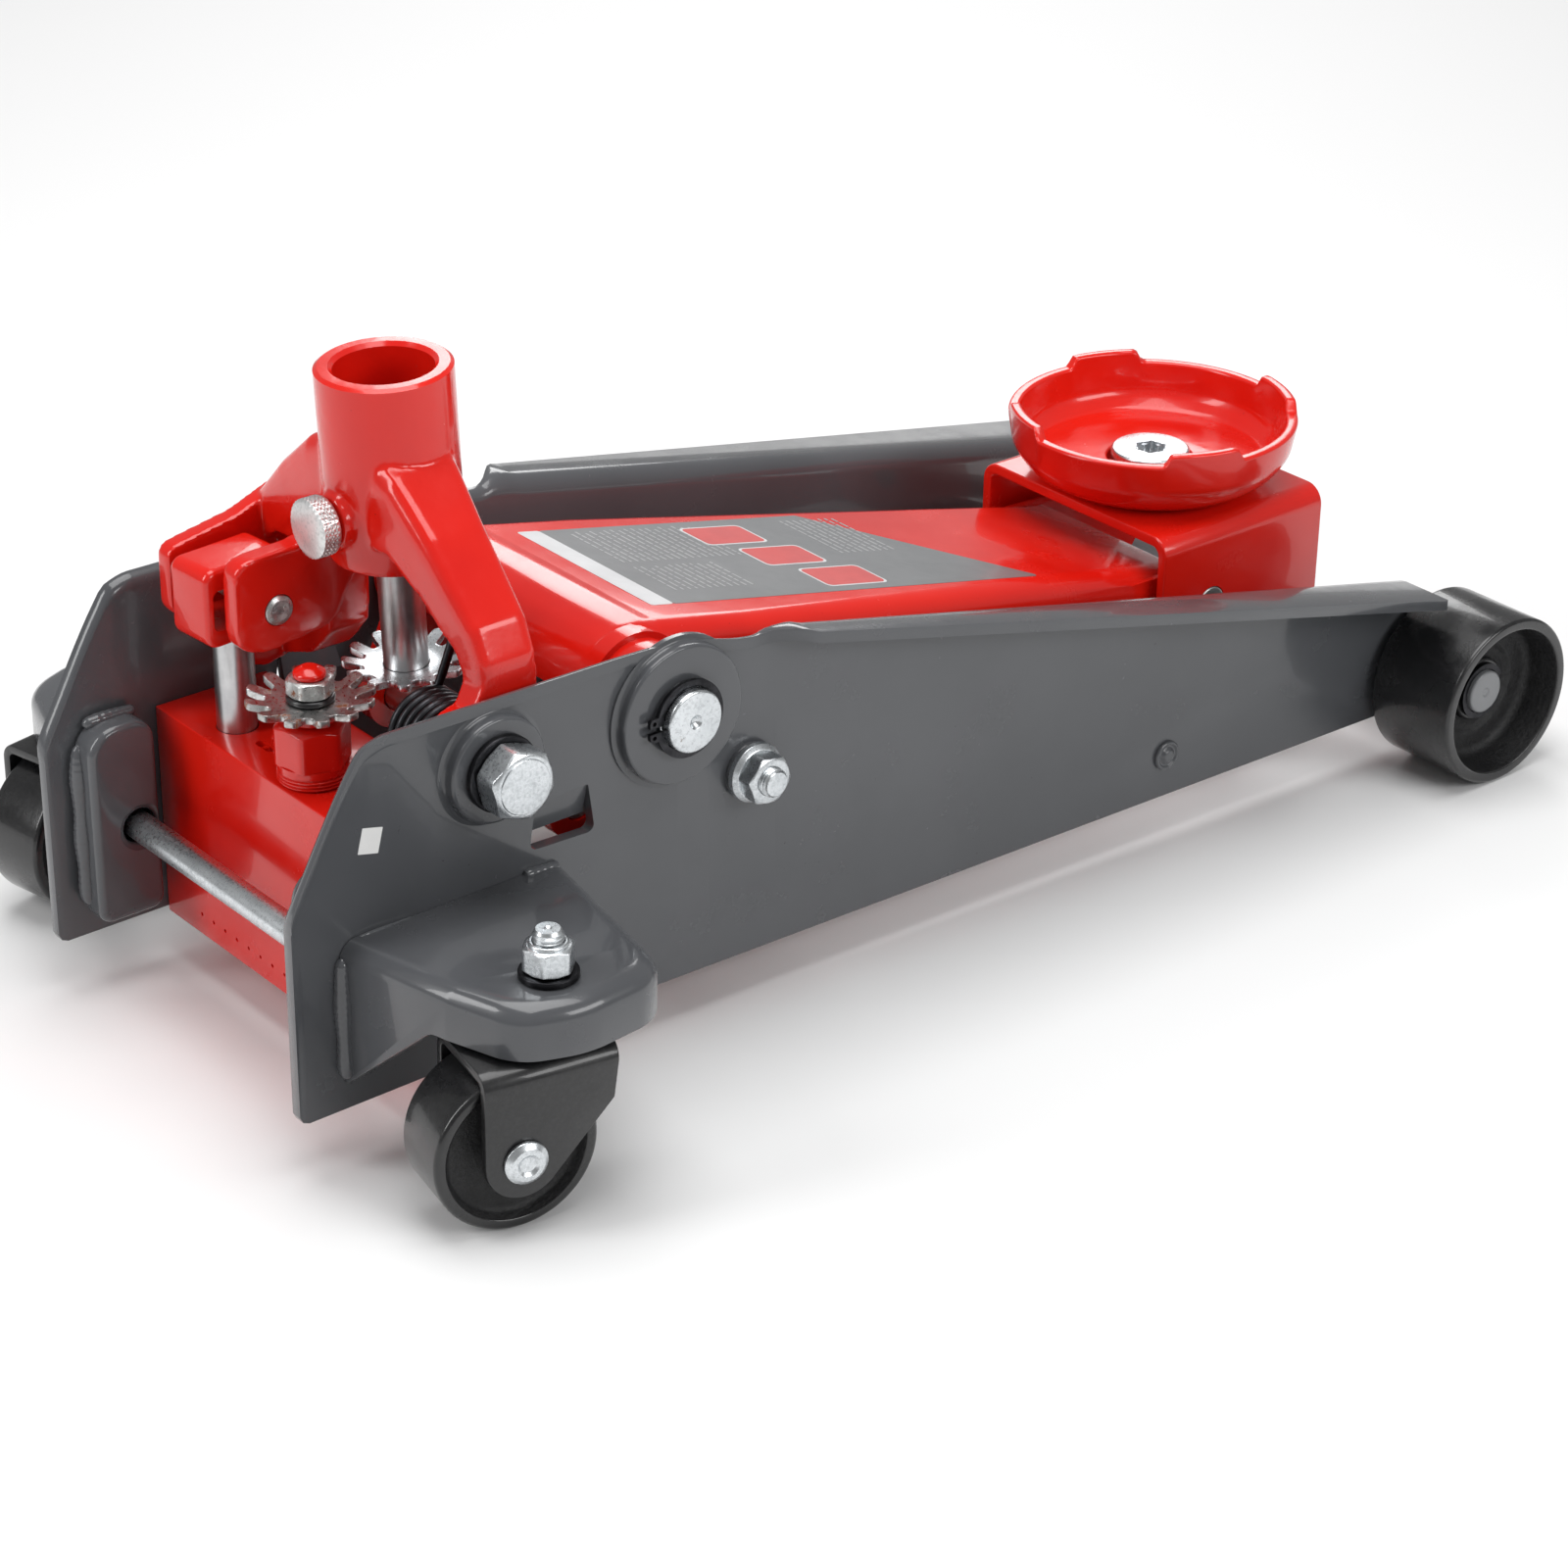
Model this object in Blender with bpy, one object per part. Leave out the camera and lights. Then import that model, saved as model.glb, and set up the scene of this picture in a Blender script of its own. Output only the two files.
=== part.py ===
"""Hydraulic trolley jack: twin side plates, lifting arm with a levelling linkage, pump and casters.

Blender 4.5.  Sizes below are in millimetres and become metres when a mesh is made.  Lengths along
the jack (x) are counted forward from the rear edge of the side plates, y is to the left and z is
up from the floor.  The finished model has its origin on the floor, under the middle of its box.
"""
import math

import bmesh
import bpy
from mathutils import Matrix, Vector

MM = 0.001
GAP = 0.3                       # clearance between pieces that touch

# ---- overall layout ------------------------------------------------------------------------
REAR_HALF_WIDTH = 90.0          # outer faces of the side plates at the rear
FRONT_HALF_WIDTH = 104.3        # the plates spread towards the front axle
SPREAD_START_X = 150.0
FLANGE_FRONT_X = 577.0
PLATE_THICKNESS = 5.0
PLATE_BOTTOM_Z = 22.2
PLATE_FRONT_X = 618.0
FRONT_AXLE_X = 599.4
FRONT_WHEEL_RADIUS = 39.0
OVERALL_LENGTH = FRONT_AXLE_X + FRONT_WHEEL_RADIUS
X_MIDDLE = OVERALL_LENGTH / 2.0

# ---- pivots, as (x, z) ---------------------------------------------------------------------
HANDLE_PIVOT = (90.6, 145.0)
ARM_PIVOT = (178.0, 141.0)
LINK_ANCHOR = (214.0, 104.7)
ARM_TIP = (505.0, 80.0)
LINK_TIP = (ARM_TIP[0] + LINK_ANCHOR[0] - ARM_PIVOT[0], ARM_TIP[1] + LINK_ANCHOR[1] - ARM_PIVOT[1])
FRONT_AXLE = (FRONT_AXLE_X, FRONT_WHEEL_RADIUS)
TIE_ROD = (33.0, 71.0)

# ---- lifting arm and its crank -------------------------------------------------------------
ARM_REAR_HALF_WIDTH = 66.0
ARM_FRONT_HALF_WIDTH = 50.0
ARM_WALL = 6.0
ARM_TOP_SLOPE = 0.223
ARM_SHAFT_RADIUS = 13.0
CRANK_LENGTH = 50.0
CRANK_ANGLE = math.radians(34.0)      # behind the downward vertical with the arm lowered
CRANK_PIN = (ARM_PIVOT[0] - CRANK_LENGTH * math.sin(CRANK_ANGLE),
             ARM_PIVOT[1] - CRANK_LENGTH * math.cos(CRANK_ANGLE))
CRANK_PIN_RADIUS = 7.0

# ---- pump and hydraulic unit ---------------------------------------------------------------
BLOCK_REAR_X = 51.0
BLOCK_FRONT_X = 106.0
BLOCK_BOTTOM_Z = 20.0
BLOCK_TOP_Z = 114.0
BLOCK_HALF_WIDTH = 84.4
RAM_Z = 86.0
RAM_RADIUS = 15.0
CYLINDER_RADIUS = 23.0
PLUNGER_AT = (67.5, 49.5)             # (x, y)
PLUNGER_RADIUS = 8.2
PLUNGER_PIN = (72.0, 173.2)           # (x, z)
PLUNGER_PIN_RADIUS = 6.2
VALVE_AT = (66.3, -6.8)               # (x, y)
GEAR_TEETH = 12
GEAR_TIP_RADIUS = 25.6
GEAR_ROOT_RADIUS = 17.6
VALVE_GEAR_Z = 144.6
FILLER_AT = (74.0, 24.0)

# ---- handle socket -------------------------------------------------------------------------
SOCKET_TOP = (109.8, 272.7)           # (x, z) on the tube's axis
SOCKET_LEAN = 0.046                   # radians, top leaning to the rear
SOCKET_RADIUS = 26.5
SOCKET_BORE_RADIUS = 19.5
SOCKET_BOTTOM_Z = 195.0
RELEASE_SHAFT_RADIUS = 9.0
RELEASE_GEAR_Z = 143.0
CLAMP_SCREW_Z = 214.5
LEG_SECTIONS = [                      # rear x, front x, outer (y, z), inner (y, z)
    (90.0, 129.0, (8.0, 247.0), (8.0, 208.0)), (90.5, 125.0, (28.0, 239.0), (26.0, 207.0)),
    (91.5, 121.5, (50.0, 221.0), (43.0, 198.0)), (93.0, 120.0, (76.5, 194.5), (65.0, 181.0)),
    (93.5, 120.0, (82.4, 181.0), (68.7, 174.0)), (94.0, 120.0, (82.4, 163.0), (68.7, 163.0)),
]
NEAR_CHEEK_Y = (21.6, 31.2)
FAR_CHEEK_Y = (63.8, 72.5)
NEAR_CHEEK = [(113.3, 214.7, 0.0), (105.0, 206.0, 10.0), (84.0, 198.0, 20.0), (53.0, 196.5, 7.0),
              (53.0, 160.0, 9.0), (66.0, 156.5, 8.0), (98.0, 160.0, 14.0), (113.3, 190.0, 0.0)]
FAR_CHEEK = [(113.0, 210.0, 0.0), (104.0, 204.5, 10.0), (82.0, 196.0, 24.0), (49.0, 190.0, 6.0),
             (49.0, 162.0, 8.0), (62.0, 156.5, 8.0), (96.0, 160.0, 14.0), (113.0, 184.0, 0.0)]
FAR_WALL = [(68.0, 166.0, 0.0), (71.0, 146.0, 5.0), (79.0, 131.5, 8.0), (92.0, 126.8, 8.0), (111.0, 131.0, 8.0),
            (118.5, 150.0, 6.0), (118.5, 186.0, 0.0), (92.0, 196.0, 0.0)]

# ---- casters -------------------------------------------------------------------------------
CASTER_AT = (66.6, 157.3)             # swivel axis, (x, |y|)
CASTER_TRAIL = 20.7
CASTER_YAW = math.radians(11.5)
CASTER_WHEEL_RADIUS = 32.9
CASTER_WHEEL_WIDTH = 30.0
BRACKET_TOP_Z = 94.3
BRACKET_WALL = 5.0
FORK_TOP_Z = 71.0

# ---- saddle --------------------------------------------------------------------------------
SADDLE_X = 522.0
SADDLE_RIM_RADIUS = 64.8
SADDLE_RIM_Z = 148.5
SADDLE_FLOOR_Z = 127.0
CARRIER_TOP_Z = 118.0                 # the inverted U that carries the saddle
CARRIER_REAR_X = 475.0
CARRIER_FRONT_X = 573.0
CARRIER_HALF_WIDTH = 59.0
CARRIER_WALL = 5.0
LINK_ROD_Y = (70.0, 77.0)

MATERIALS = {
    "grey_paint": ((0.075, 0.078, 0.085), 0.28, 0.0),
    "red_paint": ((0.62, 0.012, 0.008), 0.22, 0.0),
    "black_paint": ((0.012, 0.012, 0.013), 0.3, 0.0),
    "black_steel": ((0.02, 0.02, 0.022), 0.4, 0.9),
    "zinc": ((0.62, 0.65, 0.68), 0.3, 1.0),
    "polished_steel": ((0.6, 0.6, 0.6), 0.15, 1.0),
    "machined_steel": ((0.42, 0.41, 0.4), 0.35, 1.0),
    "aluminium": ((0.78, 0.78, 0.78), 0.35, 1.0),
}


# ============================================================================================
# Mesh helpers
# ============================================================================================
def new_object(name, verts, faces):
    """A mesh object from points in millimetres, with its faces pointing out."""
    mesh = bpy.data.meshes.new(name)
    placed = [((x - X_MIDDLE) * MM, y * MM, z * MM) for x, y, z in verts]
    mesh.from_pydata(placed, [], faces)
    bm = bmesh.new()
    bm.from_mesh(mesh)
    bmesh.ops.remove_doubles(bm, verts=bm.verts, dist=1e-6)
    bmesh.ops.recalc_face_normals(bm, faces=bm.faces)
    bm.to_mesh(mesh)
    bm.free()
    obj = bpy.data.objects.new(name, mesh)
    bpy.context.scene.collection.objects.link(obj)
    return obj


def arc(centre, radius, start_deg, end_deg, steps):
    """Points along an arc in a plane, both ends included."""
    points = []
    for i in range(steps + 1):
        angle = math.radians(start_deg + (end_deg - start_deg) * i / steps)
        points.append((centre[0] + radius * math.cos(angle), centre[1] + radius * math.sin(angle)))
    return points


def circle(centre, radius, sides=18):
    return arc(centre, radius, 0.0, 360.0 * (sides - 1) / sides, sides - 1)


def rounded(corners, steps=4):
    """A closed outline from (x, y, fillet radius) corners."""
    points = []
    count = len(corners)
    for i, (x, y, radius) in enumerate(corners):
        here = Vector((x, y))
        back = Vector(corners[i - 1][:2]) - here
        ahead = Vector(corners[(i + 1) % count][:2]) - here
        if radius <= 0.0:
            points.append((x, y))
            continue
        half = back.angle(ahead) / 2.0
        reach = min(radius / math.tan(half), 0.49 * back.length, 0.49 * ahead.length)
        radius = reach * math.tan(half)
        centre = here + (back.normalized() + ahead.normalized()).normalized() * (radius / math.sin(half))
        first = here + back.normalized() * reach - centre
        last = here + ahead.normalized() * reach - centre
        sweep = first.angle_signed(last)
        for step in range(steps + 1):
            spoke = first.copy()
            spoke.rotate(Matrix.Rotation(-sweep * step / steps, 2))
            points.append(tuple(centre + spoke))
    return points


def hull(points):
    """Convex outline round a set of points in a plane."""
    ordered = sorted(set((round(x, 4), round(y, 4)) for x, y in points))

    def half(sequence):
        chain = []
        for point in sequence:
            while len(chain) > 1:
                (ax, ay), (bx, by) = chain[-2], chain[-1]
                if (bx - ax) * (point[1] - ay) - (by - ay) * (point[0] - ax) > 1e-6:
                    break
                chain.pop()
            chain.append(point)
        return chain[:-1]

    return half(ordered) + half(ordered[::-1])


def prism(name, outline, axis, low, high):
    """An outline drawn across an axis and extruded along it."""
    def place(u, v, along):
        if axis == "X":
            return (along, u, v)
        if axis == "Y":
            return (u, along, v)
        return (u, v, along)

    count = len(outline)
    verts = [place(u, v, low) for u, v in outline] + [place(u, v, high) for u, v in outline]
    faces = [list(range(count)), list(range(count, 2 * count))]
    for i in range(count):
        j = (i + 1) % count
        faces.append([i, j, count + j, count + i])
    return new_object(name, verts, faces)


def loft(name, sections):
    """A closed skin over a row of sections with the same number of points."""
    count = len(sections[0])
    verts = [point for section in sections for point in section]
    faces = [list(range(count)), list(range(len(verts) - count, len(verts)))]
    for s in range(len(sections) - 1):
        for i in range(count):
            j = (i + 1) % count
            faces.append([s * count + i, s * count + j, (s + 1) * count + j, (s + 1) * count + i])
    return new_object(name, verts, faces)


def turned(name, profile, axis, centre, sides=18):
    """A profile of (radius, position along the axis) turned about an axis.

    A profile that starts and ends on the axis is a solid; any other is a closed ring.
    """
    def place(radius, along, angle):
        u = centre[0] + radius * math.cos(angle)
        v = centre[1] + radius * math.sin(angle)
        if axis == "X":
            return (along, u, v)
        if axis == "Y":
            return (u, along, v)
        return (u, v, along)

    rings = []
    verts = []
    for radius, along in profile:
        steps = 1 if radius == 0.0 else sides
        rings.append([len(verts) + i for i in range(steps)])
        verts += [place(radius, along, 2.0 * math.pi * i / sides) for i in range(steps)]
    solid = profile[0][0] == 0.0 and profile[-1][0] == 0.0
    pairs = list(zip(rings, rings[1:])) + ([] if solid else [(rings[-1], rings[0])])
    faces = []
    for one, two in pairs:
        for i in range(sides):
            j = (i + 1) % sides
            corners = [one[i % len(one)], one[j % len(one)], two[j % len(two)], two[i % len(two)]]
            faces.append(list(dict.fromkeys(corners)))
    return new_object(name, verts, faces)


def rod(name, axis, centre, radius, low, high, chamfer=0.0, sides=18):
    """A round bar along an axis, with its ends chamfered."""
    c = max(chamfer, 0.0)
    profile = [(0.0, low), (radius - c, low)]
    if c:
        profile += [(radius, low + c), (radius, high - c)]
    profile += [(radius - c, high), (0.0, high)]
    return turned(name, profile, axis, centre, sides)


def hexagonal(name, axis, centre, across, low, high, turn_deg):
    """A hexagon along an axis whose corners are turned off at both ends, as on a nut."""
    def place(radius, angle, along):
        u = centre[0] + radius * math.cos(angle)
        v = centre[1] + radius * math.sin(angle)
        return (u, along, v) if axis == "Y" else (u, v, along)

    low, high = min(low, high), max(low, high)
    flat = across / 2.0
    rings = [[], [], [], []]
    for i in range(18):
        bearing = math.radians(20.0 * i)
        radius = flat / math.cos((bearing + math.pi / 6.0) % (math.pi / 3.0) - math.pi / 6.0)
        drop = 0.5 * (radius - 0.95 * flat)
        angle = bearing + math.radians(turn_deg)
        rings[0].append(place(0.95 * flat, angle, low))
        rings[1].append(place(radius, angle, low + drop))
        rings[2].append(place(radius, angle, high - drop))
        rings[3].append(place(0.95 * flat, angle, high))
    return loft(name, rings)


def combine(target, tool, operation, solver="EXACT"):
    """One Boolean, applied, after which the tool object is gone."""
    modifier = target.modifiers.new("combine", "BOOLEAN")
    modifier.operation = operation
    modifier.solver = solver
    modifier.object = tool
    bpy.context.view_layer.update()
    evaluated = target.evaluated_get(bpy.context.evaluated_depsgraph_get())
    mesh = bpy.data.meshes.new_from_object(evaluated)
    target.modifiers.clear()
    target.data = mesh
    bpy.data.objects.remove(tool)
    return target


def join(target, *tools, solver="EXACT"):
    for tool in tools:
        combine(target, tool, "UNION", solver)
    return target


def cut(target, *tools, solver="EXACT"):
    for tool in tools:
        combine(target, tool, "DIFFERENCE", solver)
    return target


def bevel_edges(obj, wanted, width, segments):
    """Bevel the edges whose two ends, in millimetres, pass a test."""
    bm = bmesh.new()
    bm.from_mesh(obj.data)
    edges = []
    for edge in bm.edges:
        ends = [(v.co.x / MM + X_MIDDLE, v.co.y / MM, v.co.z / MM) for v in edge.verts]
        if all(wanted(*end) for end in ends):
            edges.append(edge)
    bmesh.ops.bevel(bm, geom=edges, offset=width * MM, offset_type="OFFSET", segments=segments,
                    profile=0.5, affect="EDGES", clamp_overlap=True)
    bm.to_mesh(obj.data)
    bm.free()
    return obj


def turn_about(obj, pivot, direction, angle):
    """Turn an object's mesh about an axis through a point in millimetres."""
    at = Vector(((pivot[0] - X_MIDDLE) * MM, pivot[1] * MM, pivot[2] * MM))
    turn = Matrix.Translation(at) @ Matrix.Rotation(angle, 4, direction) @ Matrix.Translation(-at)
    obj.data.transform(turn)
    return obj


def mirrored(obj, name):
    """A copy reflected to the other side of the jack."""
    copy = bpy.data.objects.new(name, obj.data.copy())
    copy.data.transform(Matrix.Scale(-1.0, 4, Vector((0.0, 1.0, 0.0))))
    copy.data.flip_normals()
    bpy.context.scene.collection.objects.link(copy)
    return copy


def finish(obj, name, material, origin=None):
    """Name a node, give it its material and put its origin on its joint."""
    obj.name = name
    obj.data.name = name
    obj.data.materials.clear()
    obj.data.materials.append(bpy.data.materials[material])
    for polygon in obj.data.polygons:
        polygon.use_smooth = True
        polygon.material_index = 0
    obj.data.set_sharp_from_angle(angle=math.radians(32.0))
    if origin:
        at = Vector(((origin[0] - X_MIDDLE) * MM, origin[1] * MM, origin[2] * MM))
        obj.data.transform(Matrix.Translation(-at))
        obj.location = at
    return obj


def make_materials():
    for name, (colour, roughness, metallic) in MATERIALS.items():
        material = bpy.data.materials.new(name)
        material.use_nodes = True
        shader = material.node_tree.nodes["Principled BSDF"]
        shader.inputs["Base Color"].default_value = (*colour, 1.0)
        shader.inputs["Roughness"].default_value = roughness
        shader.inputs["Metallic"].default_value = metallic


# ============================================================================================
# Side plates, their brackets and the pieces that tie them together
# ============================================================================================
def plate_face_y(x):
    """Distance from the jack's middle to the outer face of a side plate."""
    share = max(0.0, x - SPREAD_START_X) / (FLANGE_FRONT_X - SPREAD_START_X)
    return REAR_HALF_WIDTH + (FRONT_HALF_WIDTH - REAR_HALF_WIDTH) * share


# x, bottom, top, flange overhang, inner bend radius
PLATE_STATIONS = [
    (0.0, 26.0, 109.5, 0.5, 0.3), (1.2, 23.4, 113.5, 0.5, 0.3), (4.0, 22.2, 118.6, 0.5, 0.3),
    (29.5, 22.2, 163.0, 0.5, 0.3), (35.0, 22.2, 169.8, 0.5, 0.3), (46.0, 22.2, 172.6, 0.5, 0.3),
    (150.0, 22.2, 171.3, 0.5, 0.3), (180.0, 22.2, 170.6, 0.5, 0.3),
    (186.0, 22.2, 169.4, 0.5, 0.3), (212.0, 22.2, 162.8, 0.5, 0.3), (217.0, 22.2, 162.4, 0.8, 0.4),
    (222.0, 22.2, 164.0, 3.0, 1.2), (229.0, 22.2, 165.2, 9.6, 4.0), (238.0, 22.2, 162.6, 13.2, 4.0),
    (FLANGE_FRONT_X, 22.2, 88.0, 28.5, 4.0), (577.4, 22.2, 79.0, 0.6, 0.3), (606.0, 22.2, 64.0, 0.6, 0.3),
    (614.0, 24.0, 57.0, 0.6, 0.3), (PLATE_FRONT_X, 28.0, 50.0, 0.6, 0.3),
]
BEND_STEPS = 2
WINDOW = [(108.0, 102.8, 1.5), (139.0, 101.6, 1.5), (136.0, 122.5, 1.5), (111.0, 122.5, 1.5)]
# rear x, front x, inner y, z of the flap bent inwards from the window's top edge
LOUVRE = [(111.0, 136.0, 85.3, 124.6), (111.0, 136.0, 84.8, 121.8), (110.4, 136.8, 82.6, 115.0),
          (109.8, 137.6, 80.0, 107.6)]
PLUG_WELD = (440.0, 42.0)


def plate_section(x, bottom, top, overhang, bend):
    face = plate_face_y(x)
    centre = (face + bend, top - PLATE_THICKNESS - bend)
    section = [(face, bottom)]
    section += arc(centre, bend, 180.0, 90.0, BEND_STEPS)
    section += [(face + overhang, top - PLATE_THICKNESS), (face + overhang, top)]
    section += arc(centre, bend + PLATE_THICKNESS, 90.0, 180.0, BEND_STEPS)
    section += [(face - PLATE_THICKNESS, bottom)]
    return [(x, y, z) for y, z in section]


def side_plates():
    plate = loft("plate", [plate_section(*station) for station in PLATE_STATIONS])
    for (x, z), radius, proud in ((HANDLE_PIVOT, 21.5, 6.0), (ARM_PIVOT, 29.0, 5.0),
                                  (LINK_ANCHOR, 12.0, 1.5), (FRONT_AXLE, 17.0, 2.0)):
        face = plate_face_y(x)
        boss = turned("boss", [(0.0, face - 3.0), (radius, face - 3.0), (radius, face + proud - 1.5),
                               (radius - 1.5, face + proud), (0.0, face + proud)], "Y", (x, z), 20)
        join(plate, boss)
    dimple = turned("dimple", [(0.0, 97.0), (6.5, 97.0), (6.5, 100.4), (4.5, 101.8), (0.0, 102.2)],
                    "Y", PLUG_WELD, 12)
    join(plate, dimple)
    bores = [(HANDLE_PIVOT, 8.4), (ARM_PIVOT, ARM_SHAFT_RADIUS + GAP), (LINK_ANCHOR, 6.4),
             (FRONT_AXLE, 10.3)]
    for at, radius in bores:
        cut(plate, rod("bore", "Y", at, radius, 70.0, 130.0))
    cut(plate, prism("window", rounded(WINDOW, 2), "Y", 70.0, 110.0))
    join(plate, loft("louvre", [[(rear, low, z), (front, low, z), (front, low + 4.2, z), (rear, low + 4.2, z)]
                                for rear, front, low, z in LOUVRE]))
    other = mirrored(plate, "side_plate_right")
    finish(plate, "side_plate_left", "grey_paint")
    finish(other, "side_plate_right", "grey_paint")


def bracket_outline(inset, inner_y):
    """Plan of a caster bracket; inset moves every side but the one on the plate inwards."""
    return rounded([
        (20.0 + inset, inner_y, 0.0), (31.0 + inset, 142.0, 20.0), (41.0 + inset, 172.0 - inset, 22.0),
        (66.0, 181.5 - inset, 40.0), (107.0 - inset, 178.0 - inset, 22.0), (124.0 - inset, inner_y, 0.0)])


def caster_brackets():
    plate_y = REAR_HALF_WIDTH + GAP
    tray = prism("tray", bracket_outline(0.0, plate_y), "Z", 33.0, BRACKET_TOP_Z)
    bevel_edges(tray, lambda x, y, z: z > BRACKET_TOP_Z - 0.1 and y > plate_y - 0.1, 6.0, 3)
    hollow = prism("hollow", bracket_outline(BRACKET_WALL, plate_y - 12.0), "Z", 0.0,
                   BRACKET_TOP_Z - BRACKET_WALL)
    lower_edge = [(60.0, 34.5), (92.0, 34.5), (134.0, 73.0), (220.0, 73.0), (220.0, 0.0), (60.0, 0.0)]
    under = prism("under", lower_edge, "X", -20.0, 160.0)
    cut(tray, hollow, under, rod("bore", "Z", CASTER_AT, 6.4, 60.0, 110.0))
    other = mirrored(tray, "caster_bracket_right")
    finish(tray, "caster_bracket_left", "grey_paint")
    finish(other, "caster_bracket_right", "grey_paint")


def rear_gussets():
    outer_y = REAR_HALF_WIDTH - PLATE_THICKNESS - GAP
    shell = prism("gusset", rounded([(12.0, 32.0, 5.0), (42.0, 32.0, 5.0), (42.0, 118.0, 9.0),
                                     (12.0, 118.0, 12.0)], 3), "Y", 70.0, outer_y)
    bevel_edges(shell, lambda x, y, z: y < 70.1, 4.0, 2)
    hollow = prism("hollow", [(16.0, 36.0), (38.0, 36.0), (38.0, 113.0), (16.0, 111.0)], "Y", 74.0, 95.0)
    cut(shell, hollow, rod("bore", "Y", TIE_ROD, 6.8, 60.0, 95.0, sides=14))
    other = mirrored(shell, "rear_gusset_right")
    finish(shell, "rear_gusset_left", "grey_paint")
    finish(other, "rear_gusset_right", "grey_paint")


def cross_members():
    reach = REAR_HALF_WIDTH - PLATE_THICKNESS - GAP
    finish(rod("tie", "Y", TIE_ROD, 6.0, -reach, reach, 0.6, 14), "rear_tie_rod", "machined_steel")
    end = 141.0
    profile = [(0.0, -end), (9.0, -end), (10.0, -end + 1.0), (10.0, end - 1.0), (9.0, end), (0.0, end)]
    finish(turned("axle", profile, "Y", FRONT_AXLE, 18), "front_axle", "machined_steel")
    for side, sign in (("left", 1.0), ("right", -1.0)):
        inner, outer = sorted((sign * 137.4, sign * 139.0))
        clip = turned("clip", [(10.4, inner), (13.0, inner), (13.0, outer), (10.4, outer)],
                      "Y", FRONT_AXLE, 18)
        finish(clip, "axle_clip_" + side, "black_steel")


def pivot_hardware():
    """The arm's shaft and the bolts and nuts that stand out of the side plates."""
    shaft_end = 103.5
    finish(rod("shaft", "Y", ARM_PIVOT, ARM_SHAFT_RADIUS, -shaft_end, shaft_end, 1.0, 24),
           "arm_pivot_shaft", "zinc")
    for side, sign in (("left", 1.0), ("right", -1.0)):
        ring_low, ring_high = sorted((sign * 98.0, sign * 99.8))
        ring = prism("ring", [*circle(ARM_PIVOT, 16.2, 18)], "Y", ring_low, ring_high)
        ears = prism("ears", rounded([(ARM_PIVOT[0] - 19.5, 136.0, 1.5), (ARM_PIVOT[0] - 10.0, 136.0, 0.0),
                                      (ARM_PIVOT[0] - 10.0, 146.0, 0.0), (ARM_PIVOT[0] - 19.5, 146.0, 1.5)],
                                     2), "Y", ring_low, ring_high)
        slot = prism("slot", [(150.0, 139.8), (170.0, 139.8), (170.0, 142.2), (150.0, 142.2)],
                     "Y", ring_low - 5.0, ring_high + 5.0)
        join(ring, ears)
        cut(ring, rod("bore", "Y", ARM_PIVOT, ARM_SHAFT_RADIUS + GAP, ring_low - 5.0, ring_high + 5.0), slot)
        finish(ring, "arm_snap_ring_" + side, "black_steel")

        inner_end = sign * (38.0 if side == "right" else 72.6)
        bolt = hexagonal("bolt", "Y", HANDLE_PIVOT, 26.0, sign * 99.6, sign * 112.5, 12.0)
        join(bolt, rod("shank", "Y", HANDLE_PIVOT, 8.0, *sorted((inner_end, sign * 101.0)), 0.8))
        finish(bolt, "handle_bolt_" + side, "zinc")
        washer = turned("washer", [(8.3, sign * 96.3), (15.5, sign * 96.3), (15.5, sign * 99.3),
                                   (8.3, sign * 99.3)], "Y", HANDLE_PIVOT, 18)
        finish(washer, "handle_washer_" + side, "black_steel")

        face = plate_face_y(LINK_ANCHOR[0])
        studs = [(0.0, 66.9), (9.5, 66.9), (9.5, 69.6), (6.2, 69.6), (6.2, 77.4), (10.0, 77.4),
                 (10.0, face - PLATE_THICKNESS - 0.8), (6.0, face - PLATE_THICKNESS - 0.8),
                 (6.0, 108.0), (5.0, 109.0), (0.0, 109.0)]
        stud = turned("stud", [(r, sign * y) for r, y in studs], "Y", LINK_ANCHOR, 18)
        finish(stud, "link_anchor_" + side, "zinc")
        nut = hexagonal("nut", "Y", LINK_ANCHOR, 19.0, sign * 97.0, sign * 105.5, 20.0)
        flange = turned("flange", [(0.0, sign * 94.0), (12.5, sign * 94.0), (12.5, sign * 96.6),
                                   (11.0, sign * 98.0), (0.0, sign * 98.0)], "Y", LINK_ANCHOR, 18)
        join(nut, flange)
        cut(nut, rod("bore", "Y", LINK_ANCHOR, 6.3, -120.0, 120.0, sides=16))
        finish(nut, "link_nut_" + side, "zinc")


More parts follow.
